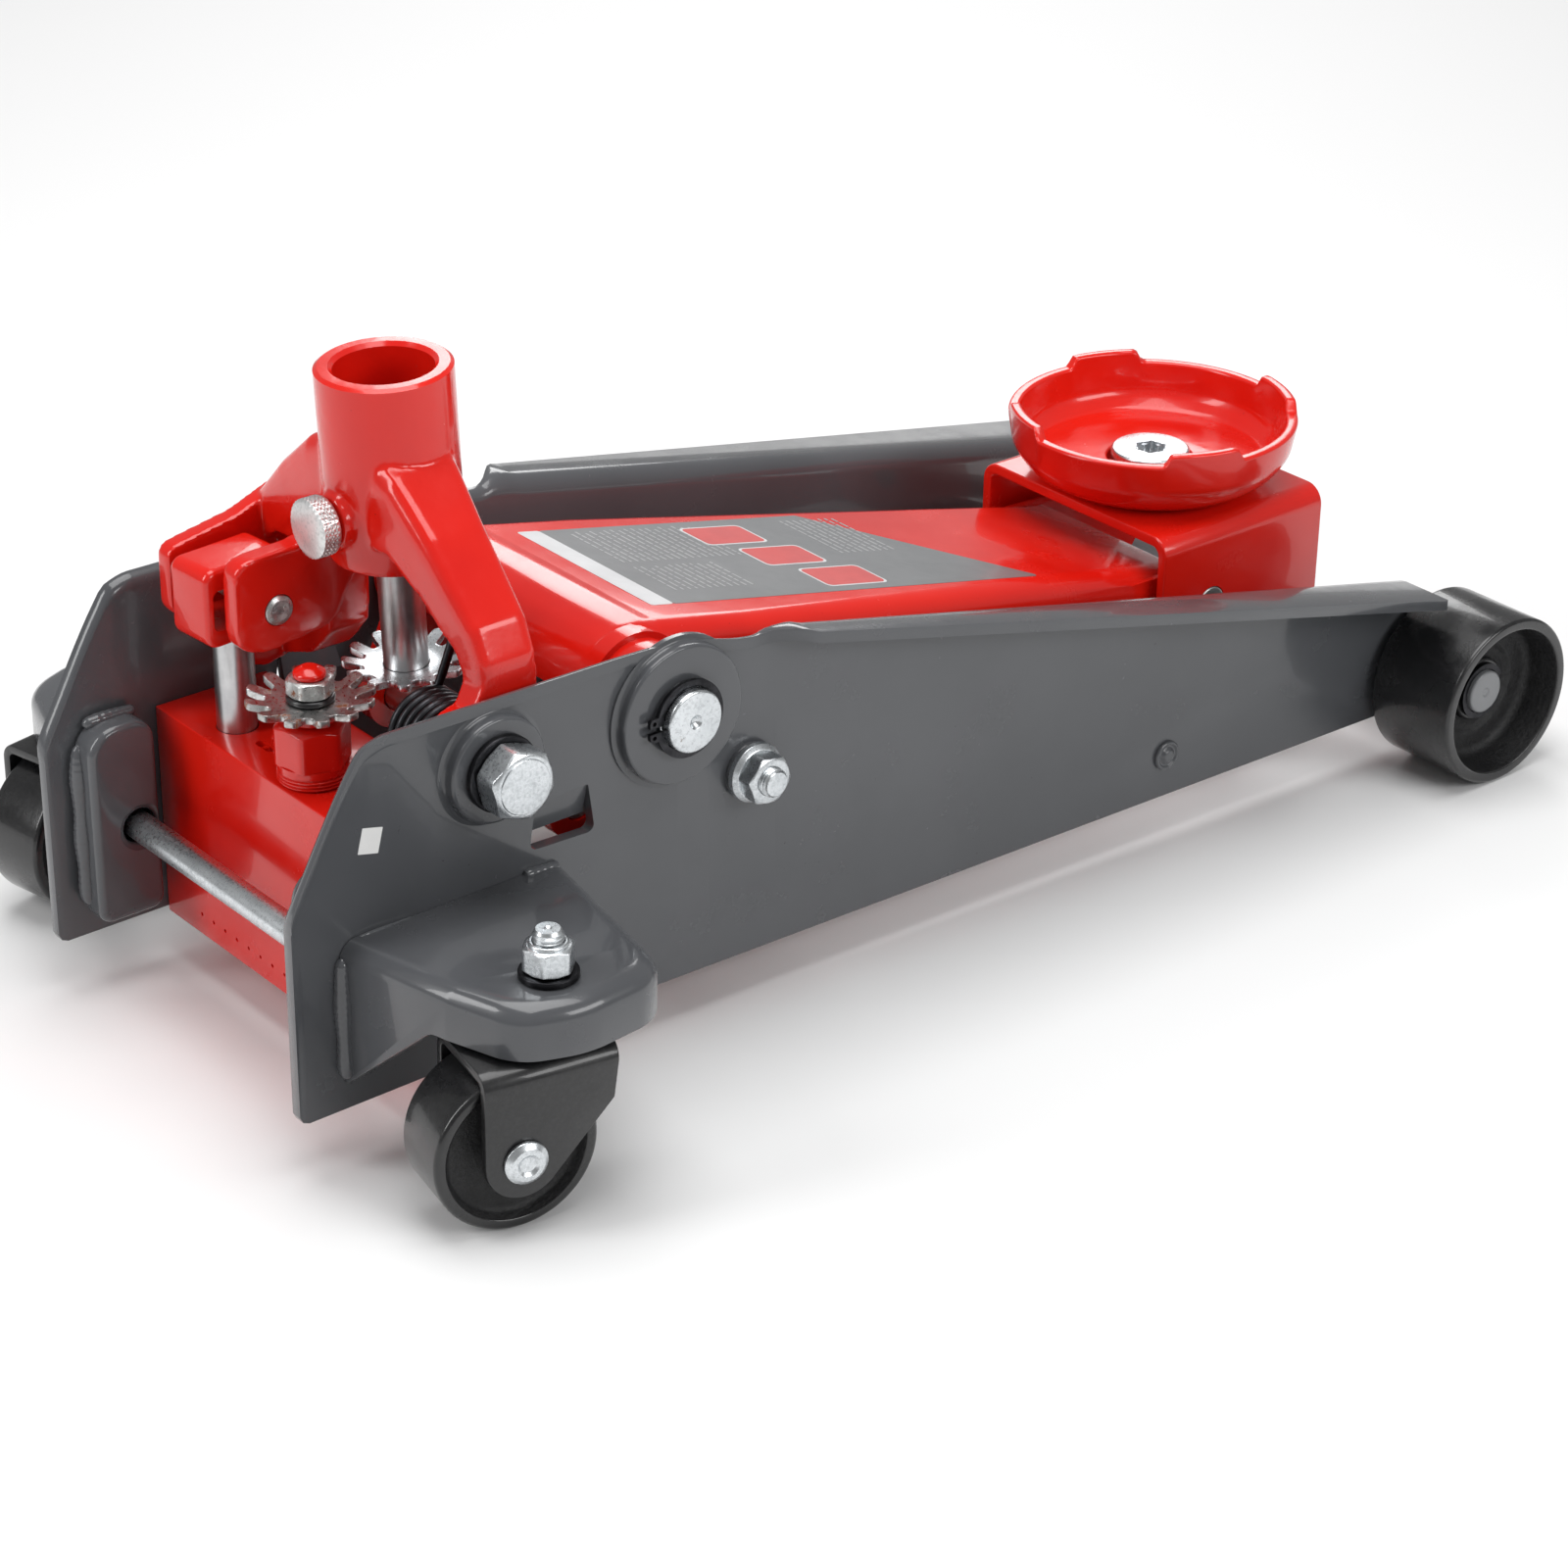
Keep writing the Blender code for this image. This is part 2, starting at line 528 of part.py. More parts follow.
# ============================================================================================
# Pump block, ram and release valve
# ============================================================================================
def pump_unit():
    block = prism("block", rounded([(BLOCK_REAR_X, BLOCK_BOTTOM_Z, 1.5), (BLOCK_FRONT_X, BLOCK_BOTTOM_Z, 2.0),
                                    (BLOCK_FRONT_X, BLOCK_TOP_Z, 4.0), (BLOCK_REAR_X, BLOCK_TOP_Z, 0.8)], 2),
                  "Y", -BLOCK_HALF_WIDTH, BLOCK_HALF_WIDTH)
    cut(block,
        rod("bore", "X", (0.0, RAM_Z), CYLINDER_RADIUS + GAP, 61.0, 130.0, sides=24),
        rod("bore", "Z", PLUNGER_AT, PLUNGER_RADIUS + GAP, 54.0, 130.0),
        rod("bore", "Z", FILLER_AT, 4.3, 104.0, 130.0, sides=12))
    finish(block, "pump_block", "red_paint")

    front = CRANK_PIN[0] - 13.0
    liner = turned("liner", [(RAM_RADIUS + GAP, 61.5), (CYLINDER_RADIUS, 61.5), (CYLINDER_RADIUS, front - 1.8),
                             (CYLINDER_RADIUS - 1.5, front), (RAM_RADIUS + GAP, front)],
                   "X", (0.0, RAM_Z), 24)
    finish(liner, "ram_cylinder", "machined_steel")

    yoke_x = CRANK_PIN[0]
    yoke_z = ARM_PIVOT[1] - CRANK_LENGTH * 0.5 * (1.0 + math.cos(CRANK_ANGLE))
    ram = rod("ram", "X", (0.0, RAM_Z), RAM_RADIUS, 62.5, yoke_x - 6.0, 0.8, 22)
    yoke = prism("yoke", rounded([(yoke_x - 11.8, yoke_z - 24.0, 3.0), (yoke_x + 12.0, yoke_z - 24.0, 3.0),
                                  (yoke_x + 12.0, yoke_z + 19.0, 3.0), (yoke_x - 11.8, yoke_z + 19.0, 3.0)], 2),
                 "Y", -17.0, 17.0)
    join(ram, yoke)
    half = CRANK_PIN_RADIUS + 1.2
    slot = prism("slot", rounded([(yoke_x - half, yoke_z - 13.6, half), (yoke_x + half, yoke_z - 13.6, half),
                                  (yoke_x + half, yoke_z + 13.6, half), (yoke_x - half, yoke_z + 13.6, half)], 6),
                 "Y", -30.0, 30.0)
    cut(ram, slot)
    finish(ram, "ram_rod", "polished_steel", (yoke_x, 0.0, RAM_Z))

    plug = turned("plug", [(0.0, 105.0), (4.0, 105.0), (4.0, BLOCK_TOP_Z + GAP), (6.0, BLOCK_TOP_Z + GAP),
                           (6.0, 117.0), (5.2, 117.8), (0.0, 117.8)], "Z", FILLER_AT, 14)
    cut(plug, prism("slot", [(FILLER_AT[0] - 8.0, FILLER_AT[1] - 0.8), (FILLER_AT[0] + 8.0, FILLER_AT[1] - 0.8),
                             (FILLER_AT[0] + 8.0, FILLER_AT[1] + 0.8), (FILLER_AT[0] - 8.0, FILLER_AT[1] + 0.8)],
                    "Z", 116.2, 125.0))
    finish(plug, "filler_plug", "red_paint")


def star_gear(name, centre, base_z, bore, phase_deg):
    """A stamped star wheel, its fingers turned up a little at their tips."""
    pitch = 360.0 / GEAR_TEETH
    thickness = 3.0
    shape = []
    for tooth in range(GEAR_TEETH):
        middle = phase_deg + pitch * tooth
        for offset, radius, lift in ((-9.0, GEAR_ROOT_RADIUS, 0.8), (-5.0, GEAR_TIP_RADIUS, 3.0),
                                     (5.0, GEAR_TIP_RADIUS, 3.0), (9.0, GEAR_ROOT_RADIUS, 0.8)):
            shape.append((math.radians(middle + offset), radius, lift))
    loops = []
    for radius_of, lift_of in ((lambda r: bore, lambda h: 0.0), (lambda r: r, lambda h: h)):
        loops.append([(centre[0] + radius_of(r) * math.cos(a), centre[1] + radius_of(r) * math.sin(a),
                       base_z + lift_of(h)) for a, r, h in shape])
    count = len(shape)
    verts = []
    for loop in loops:
        verts += loop
    for loop in reversed(loops):
        verts += [(x, y, z + thickness) for x, y, z in loop]
    faces = []
    rows = 2 * len(loops)
    for row in range(rows):
        for i in range(count):
            j = (i + 1) % count
            after = (row + 1) % rows
            faces.append([row * count + i, row * count + j, after * count + j, after * count + i])
    return new_object(name, verts, faces)


def release_valve():
    collar = rod("collar", "Z", VALVE_AT, 14.4, BLOCK_TOP_Z + GAP, 124.5, sides=22)
    join(collar, hexagonal("hex", "Z", VALVE_AT, 27.0, 121.0, 139.0, 10.0))
    cut(collar, rod("bore", "Z", VALVE_AT, 6.2, 114.0, 150.0, sides=16))
    finish(collar, "valve_collar", "red_paint")
    pivot = (*VALVE_AT, VALVE_GEAR_Z)
    facing = math.degrees(math.atan2(-VALVE_AT[1], socket_axis_x(RELEASE_GEAR_Z) - VALVE_AT[0]))
    finish(star_gear("gear", VALVE_AT, VALVE_GEAR_Z, 6.2, facing), "valve_gear", "zinc", pivot)
    spindle = turned("spindle", [(0.0, 115.0), (5.8, 115.0), (5.8, 140.0), (10.5, 140.0),
                                 (10.5, VALVE_GEAR_Z - GAP), (5.8, VALVE_GEAR_Z - GAP), (5.8, 161.0),
                                 (5.0, 162.0), (0.0, 162.0)], "Z", VALVE_AT, 16)
    finish(spindle, "valve_spindle", "red_paint", pivot)
    nut = hexagonal("nut", "Z", VALVE_AT, 17.0, VALVE_GEAR_Z + 5.0, VALVE_GEAR_Z + 13.0, 5.0)
    seat = rod("seat", "Z", VALVE_AT, 9.2, VALVE_GEAR_Z + 3.7, VALVE_GEAR_Z + 6.0)
    join(nut, seat)
    cut(nut, rod("bore", "Z", VALVE_AT, 6.2, 120.0, 180.0, sides=16))
    finish(nut, "valve_nut", "zinc", pivot)


def pump_plunger():
    pivot = (*PLUNGER_AT, 153.0)
    finish(rod("plunger", "Z", PLUNGER_AT, PLUNGER_RADIUS, 88.0, 157.0, 1.0, 18),
           "pump_plunger", "polished_steel", pivot)
    head = prism("head", rounded([(46.2, 157.3, 5.0), (86.0, 157.3, 4.0), (86.0, 190.5, 4.0),
                                  (46.2, 190.5, 4.0)], 3), "Y", 36.0, 59.5)
    bevel_edges(head, lambda x, y, z: y < 36.1 or y > 59.4, 1.5, 2)
    half = PLUNGER_PIN_RADIUS + 2.4
    slot = prism("slot", rounded([(49.4, PLUNGER_PIN[1] - half, 3.0), (81.0, PLUNGER_PIN[1] - half, 5.0),
                                  (81.0, PLUNGER_PIN[1] + half, 5.0), (49.4, PLUNGER_PIN[1] + half, 3.0)], 3),
                 "Y", 20.0, 75.0)
    cut(head, slot)
    turn_about(head, (*PLUNGER_AT, 0.0), "Z", math.radians(5.0))
    finish(head, "plunger_head", "red_paint", pivot)


# ============================================================================================
# Handle socket
# ============================================================================================
def socket_axis_x(z):
    return SOCKET_TOP[0] + (SOCKET_TOP[1] - z) * math.tan(SOCKET_LEAN)


def lean(obj):
    """Lean a piece that was made upright on the socket's axis."""
    return turn_about(obj, (SOCKET_TOP[0], 0.0, SOCKET_TOP[1]), "Y", -SOCKET_LEAN)


def leg_section(sign, rear, front, outer, inner):
    """One cut across a leg of the socket, with its two outer corners chamfered."""
    chamfer = 3.5
    across = chamfer / (front - rear)
    deep = chamfer / math.hypot(outer[0] - inner[0], outer[1] - inner[1])
    corners = [(across, 0.0), (1.0 - across, 0.0), (1.0, deep), (1.0, 1.0), (0.0, 1.0), (0.0, deep)]
    return [(rear + (front - rear) * u, sign * (outer[0] + (inner[0] - outer[0]) * v),
             outer[1] + (inner[1] - outer[1]) * v) for u, v in corners]


def handle_socket():
    top_x, top_z = SOCKET_TOP
    tube = turned("tube", [(0.0, SOCKET_BOTTOM_Z), (SOCKET_RADIUS - 1.5, SOCKET_BOTTOM_Z),
                           (SOCKET_RADIUS, SOCKET_BOTTOM_Z + 1.5), (SOCKET_RADIUS, top_z - 2.0),
                           (SOCKET_RADIUS - 2.0, top_z), (0.0, top_z)], "Z", (top_x, 0.0), 28)
    lean(tube)
    eye = circle(HANDLE_PIVOT, 18.5, 24)
    neck = [(95.5, 175.0), (119.2, 175.0), (119.2, 167.0), (108.0, 150.0), (90.6, 146.0), (88.5, 162.0)]
    for sign in (1.0, -1.0):
        inner, outer = sorted((sign * 69.2, sign * 81.8))
        leg = loft("leg", [leg_section(sign, *section) for section in LEG_SECTIONS])
        join(tube, leg, prism("neck", neck, "Y", inner, outer),
             prism("eye", eye, "Y", inner - 0.2, outer + 0.2), solver="MANIFOLD")
    near, far = NEAR_CHEEK_Y, FAR_CHEEK_Y
    join(tube,
         prism("cheek", rounded(NEAR_CHEEK, 3), "Y", *near),
         prism("cheek", rounded(FAR_CHEEK, 3), "Y", *far),
         prism("wall", rounded(FAR_WALL, 2), "Y", far[0] + 0.4, far[1] - 0.4),
         prism("web", [(92.7, 189.0), (117.0, 191.0), (117.0, 211.0), (97.0, 211.0), (92.7, 205.0)],
               "Y", near[0] + 2.0, far[0] - 5.0),
         rod("boss", "X", (0.0, CLAMP_SCREW_Z), 11.0, 82.5, 100.0),
         solver="MANIFOLD")
    bore_floor_z = 206.0
    cut(tube,
        lean(rod("bore", "Z", (top_x, 0.0), SOCKET_BORE_RADIUS, bore_floor_z, top_z + 20.0, sides=28)),
        lean(rod("bore", "Z", (top_x, 0.0), RELEASE_SHAFT_RADIUS + GAP, 150.0, bore_floor_z + 10.0)),
        rod("bore", "Y", HANDLE_PIVOT, 8.3, -100.0, -60.0),
        rod("bore", "Y", HANDLE_PIVOT, 8.3, 72.3, 100.0),
        rod("bore", "Y", PLUNGER_PIN, PLUNGER_PIN_RADIUS + GAP, 10.0, 80.0),
        rod("bore", "X", (0.0, CLAMP_SCREW_Z), 5.3, 60.0, 98.0, sides=14),
        solver="MANIFOLD")
    finish(tube, "handle_socket", "red_paint", (HANDLE_PIVOT[0], 0.0, HANDLE_PIVOT[1]))


def socket_fittings():
    pivot = (HANDLE_PIVOT[0], 0.0, HANDLE_PIVOT[1])
    finish(rod("pin", "Y", PLUNGER_PIN, PLUNGER_PIN_RADIUS, 20.2, 74.0, 0.8, 16),
           "plunger_pin", "machined_steel", pivot)

    knurls = 18
    grip = []
    for i in range(2 * knurls):
        radius = 12.0 if i % 2 else 11.5
        angle = math.pi * i / knurls
        grip.append((radius * math.cos(angle), CLAMP_SCREW_Z + radius * math.sin(angle)))
    knob = prism("knob", grip, "X", 72.5, 80.5)
    join(knob, rod("stem", "X", (0.0, CLAMP_SCREW_Z), 5.0, 79.0, 92.0, 0.6, 14))
    finish(knob, "clamp_screw", "aluminium", (76.0, 0.0, CLAMP_SCREW_Z))

    top_x, top_z = SOCKET_TOP
    drop = RELEASE_GEAR_Z - 3.0
    radius = RELEASE_SHAFT_RADIUS
    shaft = turned("shaft", [(0.0, drop), (radius - 1.0, drop), (radius, drop + 1.0), (radius, 206.4),
                             (16.5, 206.4), (16.5, 214.0), (15.5, 215.0), (0.0, 215.0)],
                   "Z", (top_x, 0.0), 22)
    cut(shaft, prism("slot", [(top_x - 3.5, -30.0), (top_x + 3.5, -30.0), (top_x + 3.5, 30.0),
                              (top_x - 3.5, 30.0)], "Z", 209.0, 230.0))
    turning = (socket_axis_x(RELEASE_GEAR_Z), 0.0, RELEASE_GEAR_Z)
    finish(lean(shaft), "release_shaft", "polished_steel", turning)
    facing = math.degrees(math.atan2(VALVE_AT[1], VALVE_AT[0] - socket_axis_x(RELEASE_GEAR_Z)))
    half_pitch = 180.0 / GEAR_TEETH
    gear = star_gear("gear", (top_x, 0.0), RELEASE_GEAR_Z, radius + GAP, facing + half_pitch)
    finish(lean(gear), "release_gear", "zinc", turning)


def torsion_spring():
    """The coil round the right handle bolt that holds the socket up, with its two tails."""
    wire, mean = 1.85, 15.2
    start_y, end_y = -45.5, -65.5
    path = []
    path.append(Vector((107.2, start_y, 178.0)))
    path.append(Vector((100.4, start_y, 161.6)))
    steps = 62
    first_angle, last_angle = math.radians(60.0), math.radians(-1800.0)
    for i in range(steps + 1):
        angle = first_angle + (last_angle - first_angle) * i / steps
        y = start_y + (end_y - start_y) * i / steps
        path.append(Vector((HANDLE_PIVOT[0] + mean * math.cos(angle), y,
                            HANDLE_PIVOT[1] + mean * math.sin(angle))))
    path.append(path[-1] + Vector((0.0, 0.5, -10.0)))
    sides = 6
    verts = []
    for i, point in enumerate(path):
        tangent = (path[min(i + 1, len(path) - 1)] - path[max(i - 1, 0)]).normalized()
        across = tangent.cross(Vector((0.0, 1.0, 0.0))).normalized()
        over = across.cross(tangent)
        for s in range(sides):
            angle = 2.0 * math.pi * s / sides
            verts.append(tuple(point + wire * (math.cos(angle) * across + math.sin(angle) * over)))
    faces = [list(range(sides)), list(range(len(verts) - sides, len(verts)))]
    for i in range(len(path) - 1):
        for s in range(sides):
            t = (s + 1) % sides
            faces.append([i * sides + s, i * sides + t, (i + 1) * sides + t, (i + 1) * sides + s])
    finish(new_object("spring", verts, faces), "handle_spring", "black_steel",
           (HANDLE_PIVOT[0], 0.0, HANDLE_PIVOT[1]))


# ============================================================================================
# Lifting arm, levelling links and saddle
# ============================================================================================
def arm_top_z(x):
    return 163.0 - ARM_TOP_SLOPE * (x - 195.0)


def arm_half_width(x):
    share = min(1.0, max(0.0, (x - 240.0) / (473.0 - 240.0)))
    return ARM_REAR_HALF_WIDTH + (ARM_FRONT_HALF_WIDTH - ARM_REAR_HALF_WIDTH) * share


def arm_bottom_z(x):
    if x < 240.0:
        return 118.0 - 10.0 * (x - 155.0) / 85.0
    return 108.0 - 42.0 * (x - 240.0) / 270.0


def arm_section(x, top):
    """An inverted U with rounded shoulders, as one closed loop across the arm."""
    half = arm_half_width(x)
    bottom = arm_bottom_z(x)
    outer = min(11.0, (top - bottom) * 0.4)
    steps = 3
    inner = outer - ARM_WALL * 0.6
    inner_top = top - ARM_WALL
    inner_half = half - ARM_WALL
    loop = [(-half, bottom)]
    loop += arc((-half + outer, top - outer), outer, 180.0, 90.0, steps)
    loop += arc((half - outer, top - outer), outer, 90.0, 0.0, steps)
    loop += [(half, bottom), (inner_half, bottom)]
    loop += arc((inner_half - inner, inner_top - inner), inner, 0.0, 90.0, 2)
    loop += arc((-inner_half + inner, inner_top - inner), inner, 90.0, 180.0, 2)
    loop += [(-inner_half, bottom)]
    return [(x, y, z) for y, z in loop]


def lift_arm():
    roll = [(155.0, 146.0), (157.0, 152.0), (161.5, 158.0), (169.0, 162.5), (179.0, 164.6)]
    straight = [(x, arm_top_z(x)) for x in (195.0, 240.0, 360.0, 473.0, 497.0)]
    arm = loft("arm", [arm_section(x, top) for x, top in roll + straight])
    crank = hull(circle(ARM_PIVOT, 23.5, 22) + circle(CRANK_PIN, 15.0, 16))
    tip = hull(circle(ARM_TIP, 15.0, 16) + [(460.0, 97.0), (460.0, 76.0)])
    for sign in (1.0, -1.0):
        for outline, low, high in ((crank, 57.5, 65.6), (tip, 43.5, 49.6)):
            join(arm, prism("lobe", outline, "Y", *sorted((sign * low, sign * high))))
        collar = turned("collar", [(0.0, sign * 58.0), (21.0, sign * 58.0), (21.0, sign * 82.5),
                                   (19.2, sign * 84.4), (0.0, sign * 84.4)], "Y", ARM_PIVOT, 24)
        join(arm, collar)
    cut(arm,
        rod("bore", "Y", ARM_PIVOT, ARM_SHAFT_RADIUS + GAP, -100.0, 100.0, sides=24),
        rod("bore", "Y", CRANK_PIN, CRANK_PIN_RADIUS + GAP, -80.0, 80.0),
        rod("bore", "Y", ARM_TIP, 8.3, -80.0, 80.0))
    finish(arm, "lift_arm", "red_paint", (ARM_PIVOT[0], 0.0, ARM_PIVOT[1]))
    finish(rod("pin", "Y", CRANK_PIN, CRANK_PIN_RADIUS, -65.0, 65.0, 0.8, 16),
           "ram_pin", "machined_steel", (ARM_PIVOT[0], 0.0, ARM_PIVOT[1]))


def saddle_carrier():
    half, wall, top = CARRIER_HALF_WIDTH, CARRIER_WALL, CARRIER_TOP_Z
    radius = 9.0
    loop = [(-half, 20.0)]
    loop += arc((-half + radius, top - radius), radius, 180.0, 90.0, 4)
    loop += arc((half - radius, top - radius), radius, 90.0, 0.0, 4)
    loop += [(half, 20.0), (half - wall, 20.0)]
    loop += arc((half - radius, top - radius), radius - wall, 0.0, 90.0, 3)
    loop += arc((-half + radius, top - radius), radius - wall, 90.0, 180.0, 3)
    loop += [(-half + wall, 20.0)]
    channel = prism("channel", loop, "X", CARRIER_REAR_X, CARRIER_FRONT_X)
    side = rounded([(CARRIER_REAR_X - 5.0, top + 5.0, 0.0), (CARRIER_REAR_X - 5.0, 78.0, 0.0),
                    (CARRIER_REAR_X + 10.0, 64.0, 10.0), (LINK_TIP[0] - 12.0, 31.0, 12.0),
                    (LINK_TIP[0] + 14.0, 31.0, 14.0), (CARRIER_FRONT_X + 4.0, 62.0, 12.0),
                    (CARRIER_FRONT_X + 5.0, top + 5.0, 0.0)], 4)
    combine(channel, prism("side", side, "Y", -80.0, 80.0), "INTERSECT")
    cut(channel,
        rod("bore", "Y", ARM_TIP, 8.3, -80.0, 80.0),
        rod("bore", "Y", LINK_TIP, 7.3, -80.0, 80.0),
        rod("bore", "Z", (SADDLE_X, 0.0), 8.3, 90.0, 130.0))
    pivot = (ARM_TIP[0], 0.0, ARM_TIP[1])
    finish(channel, "saddle_carrier", "red_paint", pivot)

    reach = half + GAP
    finish(rod("pin", "Y", ARM_TIP, 8.0, -reach, reach, 0.8, 16), "arm_tip_pin", "machined_steel", pivot)
    inner, outer = LINK_ROD_Y
    link_half = [(7.0, 0.0), (7.0, reach), (11.0, reach), (11.0, inner - GAP), (7.0, inner - GAP),
                 (7.0, outer + GAP), (10.0, outer + GAP), (10.0, outer + 3.0), (0.0, outer + 3.0)]
    profile = [(r, -y) for r, y in reversed(link_half)] + link_half[1:]
    finish(turned("pin", profile, "Y", LINK_TIP, 16), "link_tip_pin", "machined_steel", pivot)

    bar = hull(circle(LINK_ANCHOR, 11.5, 16) + circle(LINK_TIP, 11.5, 16))
    for side_name, sign in (("left", 1.0), ("right", -1.0)):
        link = prism("link", bar, "Y", *sorted((sign * inner, sign * outer)))
        cut(link, rod("bore", "Y", LINK_ANCHOR, 6.6, -100.0, 100.0), rod("bore", "Y", LINK_TIP, 7.3, -100.0, 100.0))
        finish(link, "link_rod_" + side_name, "black_paint", (LINK_ANCHOR[0], 0.0, LINK_ANCHOR[1]))


def saddle():
    rim, top = SADDLE_RIM_RADIUS, SADDLE_RIM_Z
    base = CARRIER_TOP_Z + GAP
    floor = SADDLE_FLOOR_Z
    profile = [(9.0, base), (36.0, base), (46.0, base + 1.8), (55.5, base + 7.0), (61.5, base + 15.0),
               (rim - 0.4, top - 2.0), (rim - 1.4, top), (rim - 5.2, top), (rim - 6.0, top - 1.5),
               (57.0, floor + 5.0), (52.0, floor), (19.3, floor), (19.3, 121.0), (9.0, 121.0)]
    cup = turned("cup", profile, "Z", (SADDLE_X, 0.0), 32)
    lug_half_angle = 15.0
    for lug in range(4):
        middle = 67.0 + 90.0 * lug
        outline = arc((SADDLE_X, 0.0), rim - 0.2, middle - lug_half_angle, middle + lug_half_angle, 3)
        outline += arc((SADDLE_X, 0.0), rim - 5.0, middle + lug_half_angle, middle - lug_half_angle, 3)
        join(cup, prism("lug", outline, "Z", top - 4.0, top + 5.0))
    finish(cup, "saddle", "red_paint", (SADDLE_X, 0.0, base))

    screw = turned("screw", [(0.0, 101.0), (7.2, 101.0), (8.0, 102.0), (8.0, 121.4), (14.0, 123.0),
                             (17.6, 126.5), (17.6, 130.0), (16.4, 131.2), (0.0, 131.2)],
                   "Z", (SADDLE_X, 0.0), 24)
    recess = []
    for i in range(12):
        radius = 8.0 if i % 2 else 6.2
        recess.append((SADDLE_X + radius * math.cos(math.pi * i / 6.0), radius * math.sin(math.pi * i / 6.0)))
    cut(screw, prism("recess", recess, "Z", 126.5, 140.0))
    finish(screw, "saddle_screw", "zinc", (SADDLE_X, 0.0, CARRIER_TOP_Z))


# ============================================================================================
# Wheels and casters
# ============================================================================================
def front_wheels():
    profile = [(10.4, 107.6), (34.0, 107.6), (38.0, 108.6), (39.0, 110.8), (39.0, 150.6), (38.0, 152.6),
               (36.8, 153.0), (34.4, 153.0), (33.2, 151.6), (31.8, 139.0), (28.5, 136.0), (16.0, 135.4),
               (14.4, 137.0), (10.4, 137.0)]
    for side, sign in (("left", 1.0), ("right", -1.0)):
        wheel = turned("wheel", [(r, sign * y) for r, y in profile], "Y", FRONT_AXLE, 30)
        finish(wheel, "front_wheel_" + side, "black_paint", (FRONT_AXLE[0], sign * 130.0, FRONT_AXLE[1]))


def casters():
    for side, sign in (("left", 1.0), ("right", -1.0)):
        x, y = CASTER_AT[0], sign * CASTER_AT[1]
        swivel = (x, y, FORK_TOP_Z)
        axle = (x - CASTER_TRAIL, CASTER_WHEEL_RADIUS)
        leg = hull(circle(axle, 15.5, 18) + [(x - 36.0, FORK_TOP_Z), (x + 19.0, FORK_TOP_Z), (x + 16.0, 50.0)])
        fork = prism("fork", rounded([(x - 36.0, y - 21.5, 2.0), (x + 19.0, y - 21.5, 2.0),
                                      (x + 19.0, y + 21.5, 2.0), (x - 36.0, y + 21.5, 2.0)], 2),
                     "Z", FORK_TOP_Z - 4.0, FORK_TOP_Z)
        for low, high in ((-21.4, -17.4), (17.4, 21.4)):
            plate = prism("leg", leg, "Y", y + low, y + high)
            join(fork, plate)
        neck = turned("neck", [(0.0, FORK_TOP_Z - 2.0), (16.5, FORK_TOP_Z - 2.0), (16.5, FORK_TOP_Z + 5.0),
                               (14.5, FORK_TOP_Z + 8.0), (14.5, BRACKET_TOP_Z - BRACKET_WALL - GAP),
                               (0.0, BRACKET_TOP_Z - BRACKET_WALL - GAP)], "Z", (x, y), 22)
        join(fork, neck)
        cut(fork, rod("bore", "Z", (x, y), 6.4, 50.0, 110.0),
            rod("bore", "Y", axle, 5.3, y - 30.0, y + 30.0, sides=14))
        half = CASTER_WHEEL_WIDTH / 2.0
        r = CASTER_WHEEL_RADIUS
        profile = [(5.3, y - half - 1.4), (9.5, y - half - 1.4), (9.5, y - half + 5.5), (25.5, y - half + 4.0),
                   (27.4, y - half + 1.0), (28.6, y - half), (r - 1.5, y - half), (r, y - half + 1.8),
                   (r, y + half - 1.8), (r - 1.5, y + half), (28.6, y + half), (27.4, y + half - 1.0),
                   (25.5, y + half - 4.0), (9.5, y + half - 5.5), (9.5, y + half + 1.4), (5.3, y + half + 1.4)]
        wheel = turned("wheel", profile, "Y", axle, 28)
        ends = [(0.0, -25.3), (4.6, -25.3), (6.8, -24.2), (8.8, -23.4), (8.8, -21.7), (5.0, -21.7),
                (5.0, 21.7), (8.8, 21.7), (8.8, 23.4), (6.8, 24.2), (4.6, 25.3), (0.0, 25.3)]
        rivet = turned("rivet", [(radius, y + along) for radius, along in ends], "Y", axle, 16)
        for piece in (fork, wheel, rivet):
            turn_about(piece, swivel, "Z", sign * CASTER_YAW)
        trail = Matrix.Rotation(sign * CASTER_YAW, 2) @ Vector((-CASTER_TRAIL, 0.0))
        centre = (x + trail.x, y + trail.y, CASTER_WHEEL_RADIUS)
        finish(fork, "caster_fork_" + side, "black_paint", swivel)
        finish(wheel, "caster_wheel_" + side, "black_paint", centre)
        finish(rivet, "caster_rivet_" + side, "zinc", centre)

        bolt = turned("bolt", [(0.0, 64.6), (8.0, 64.6), (9.0, 65.2), (9.0, FORK_TOP_Z - 4.0 - GAP),
                               (6.0, FORK_TOP_Z - 4.0 - GAP), (6.0, 113.0), (5.0, 114.2), (0.0, 114.2)],
                      "Z", (x, y), 16)
        finish(bolt, "king_bolt_" + side, "zinc")
        nut = hexagonal("nut", "Z", (x, y), 18.0, BRACKET_TOP_Z + 2.0, BRACKET_TOP_Z + 14.5, 12.0)
        washer = rod("washer", "Z", (x, y), 11.4, BRACKET_TOP_Z + GAP, BRACKET_TOP_Z + 3.5, 0.4, 18)
        join(nut, washer)
        cut(nut, rod("bore", "Z", (x, y), 6.3, 80.0, 120.0, sides=16))
        finish(nut, "caster_nut_" + side, "zinc")


def main():
    for obj in list(bpy.data.objects):
        bpy.data.objects.remove(obj)
    make_materials()
    side_plates()
    caster_brackets()
    rear_gussets()
    cross_members()
    pivot_hardware()
    pump_unit()
    release_valve()
    pump_plunger()
    handle_socket()
    socket_fittings()
    torsion_spring()
    lift_arm()
    saddle_carrier()
    saddle()
    front_wheels()
    casters()


main()
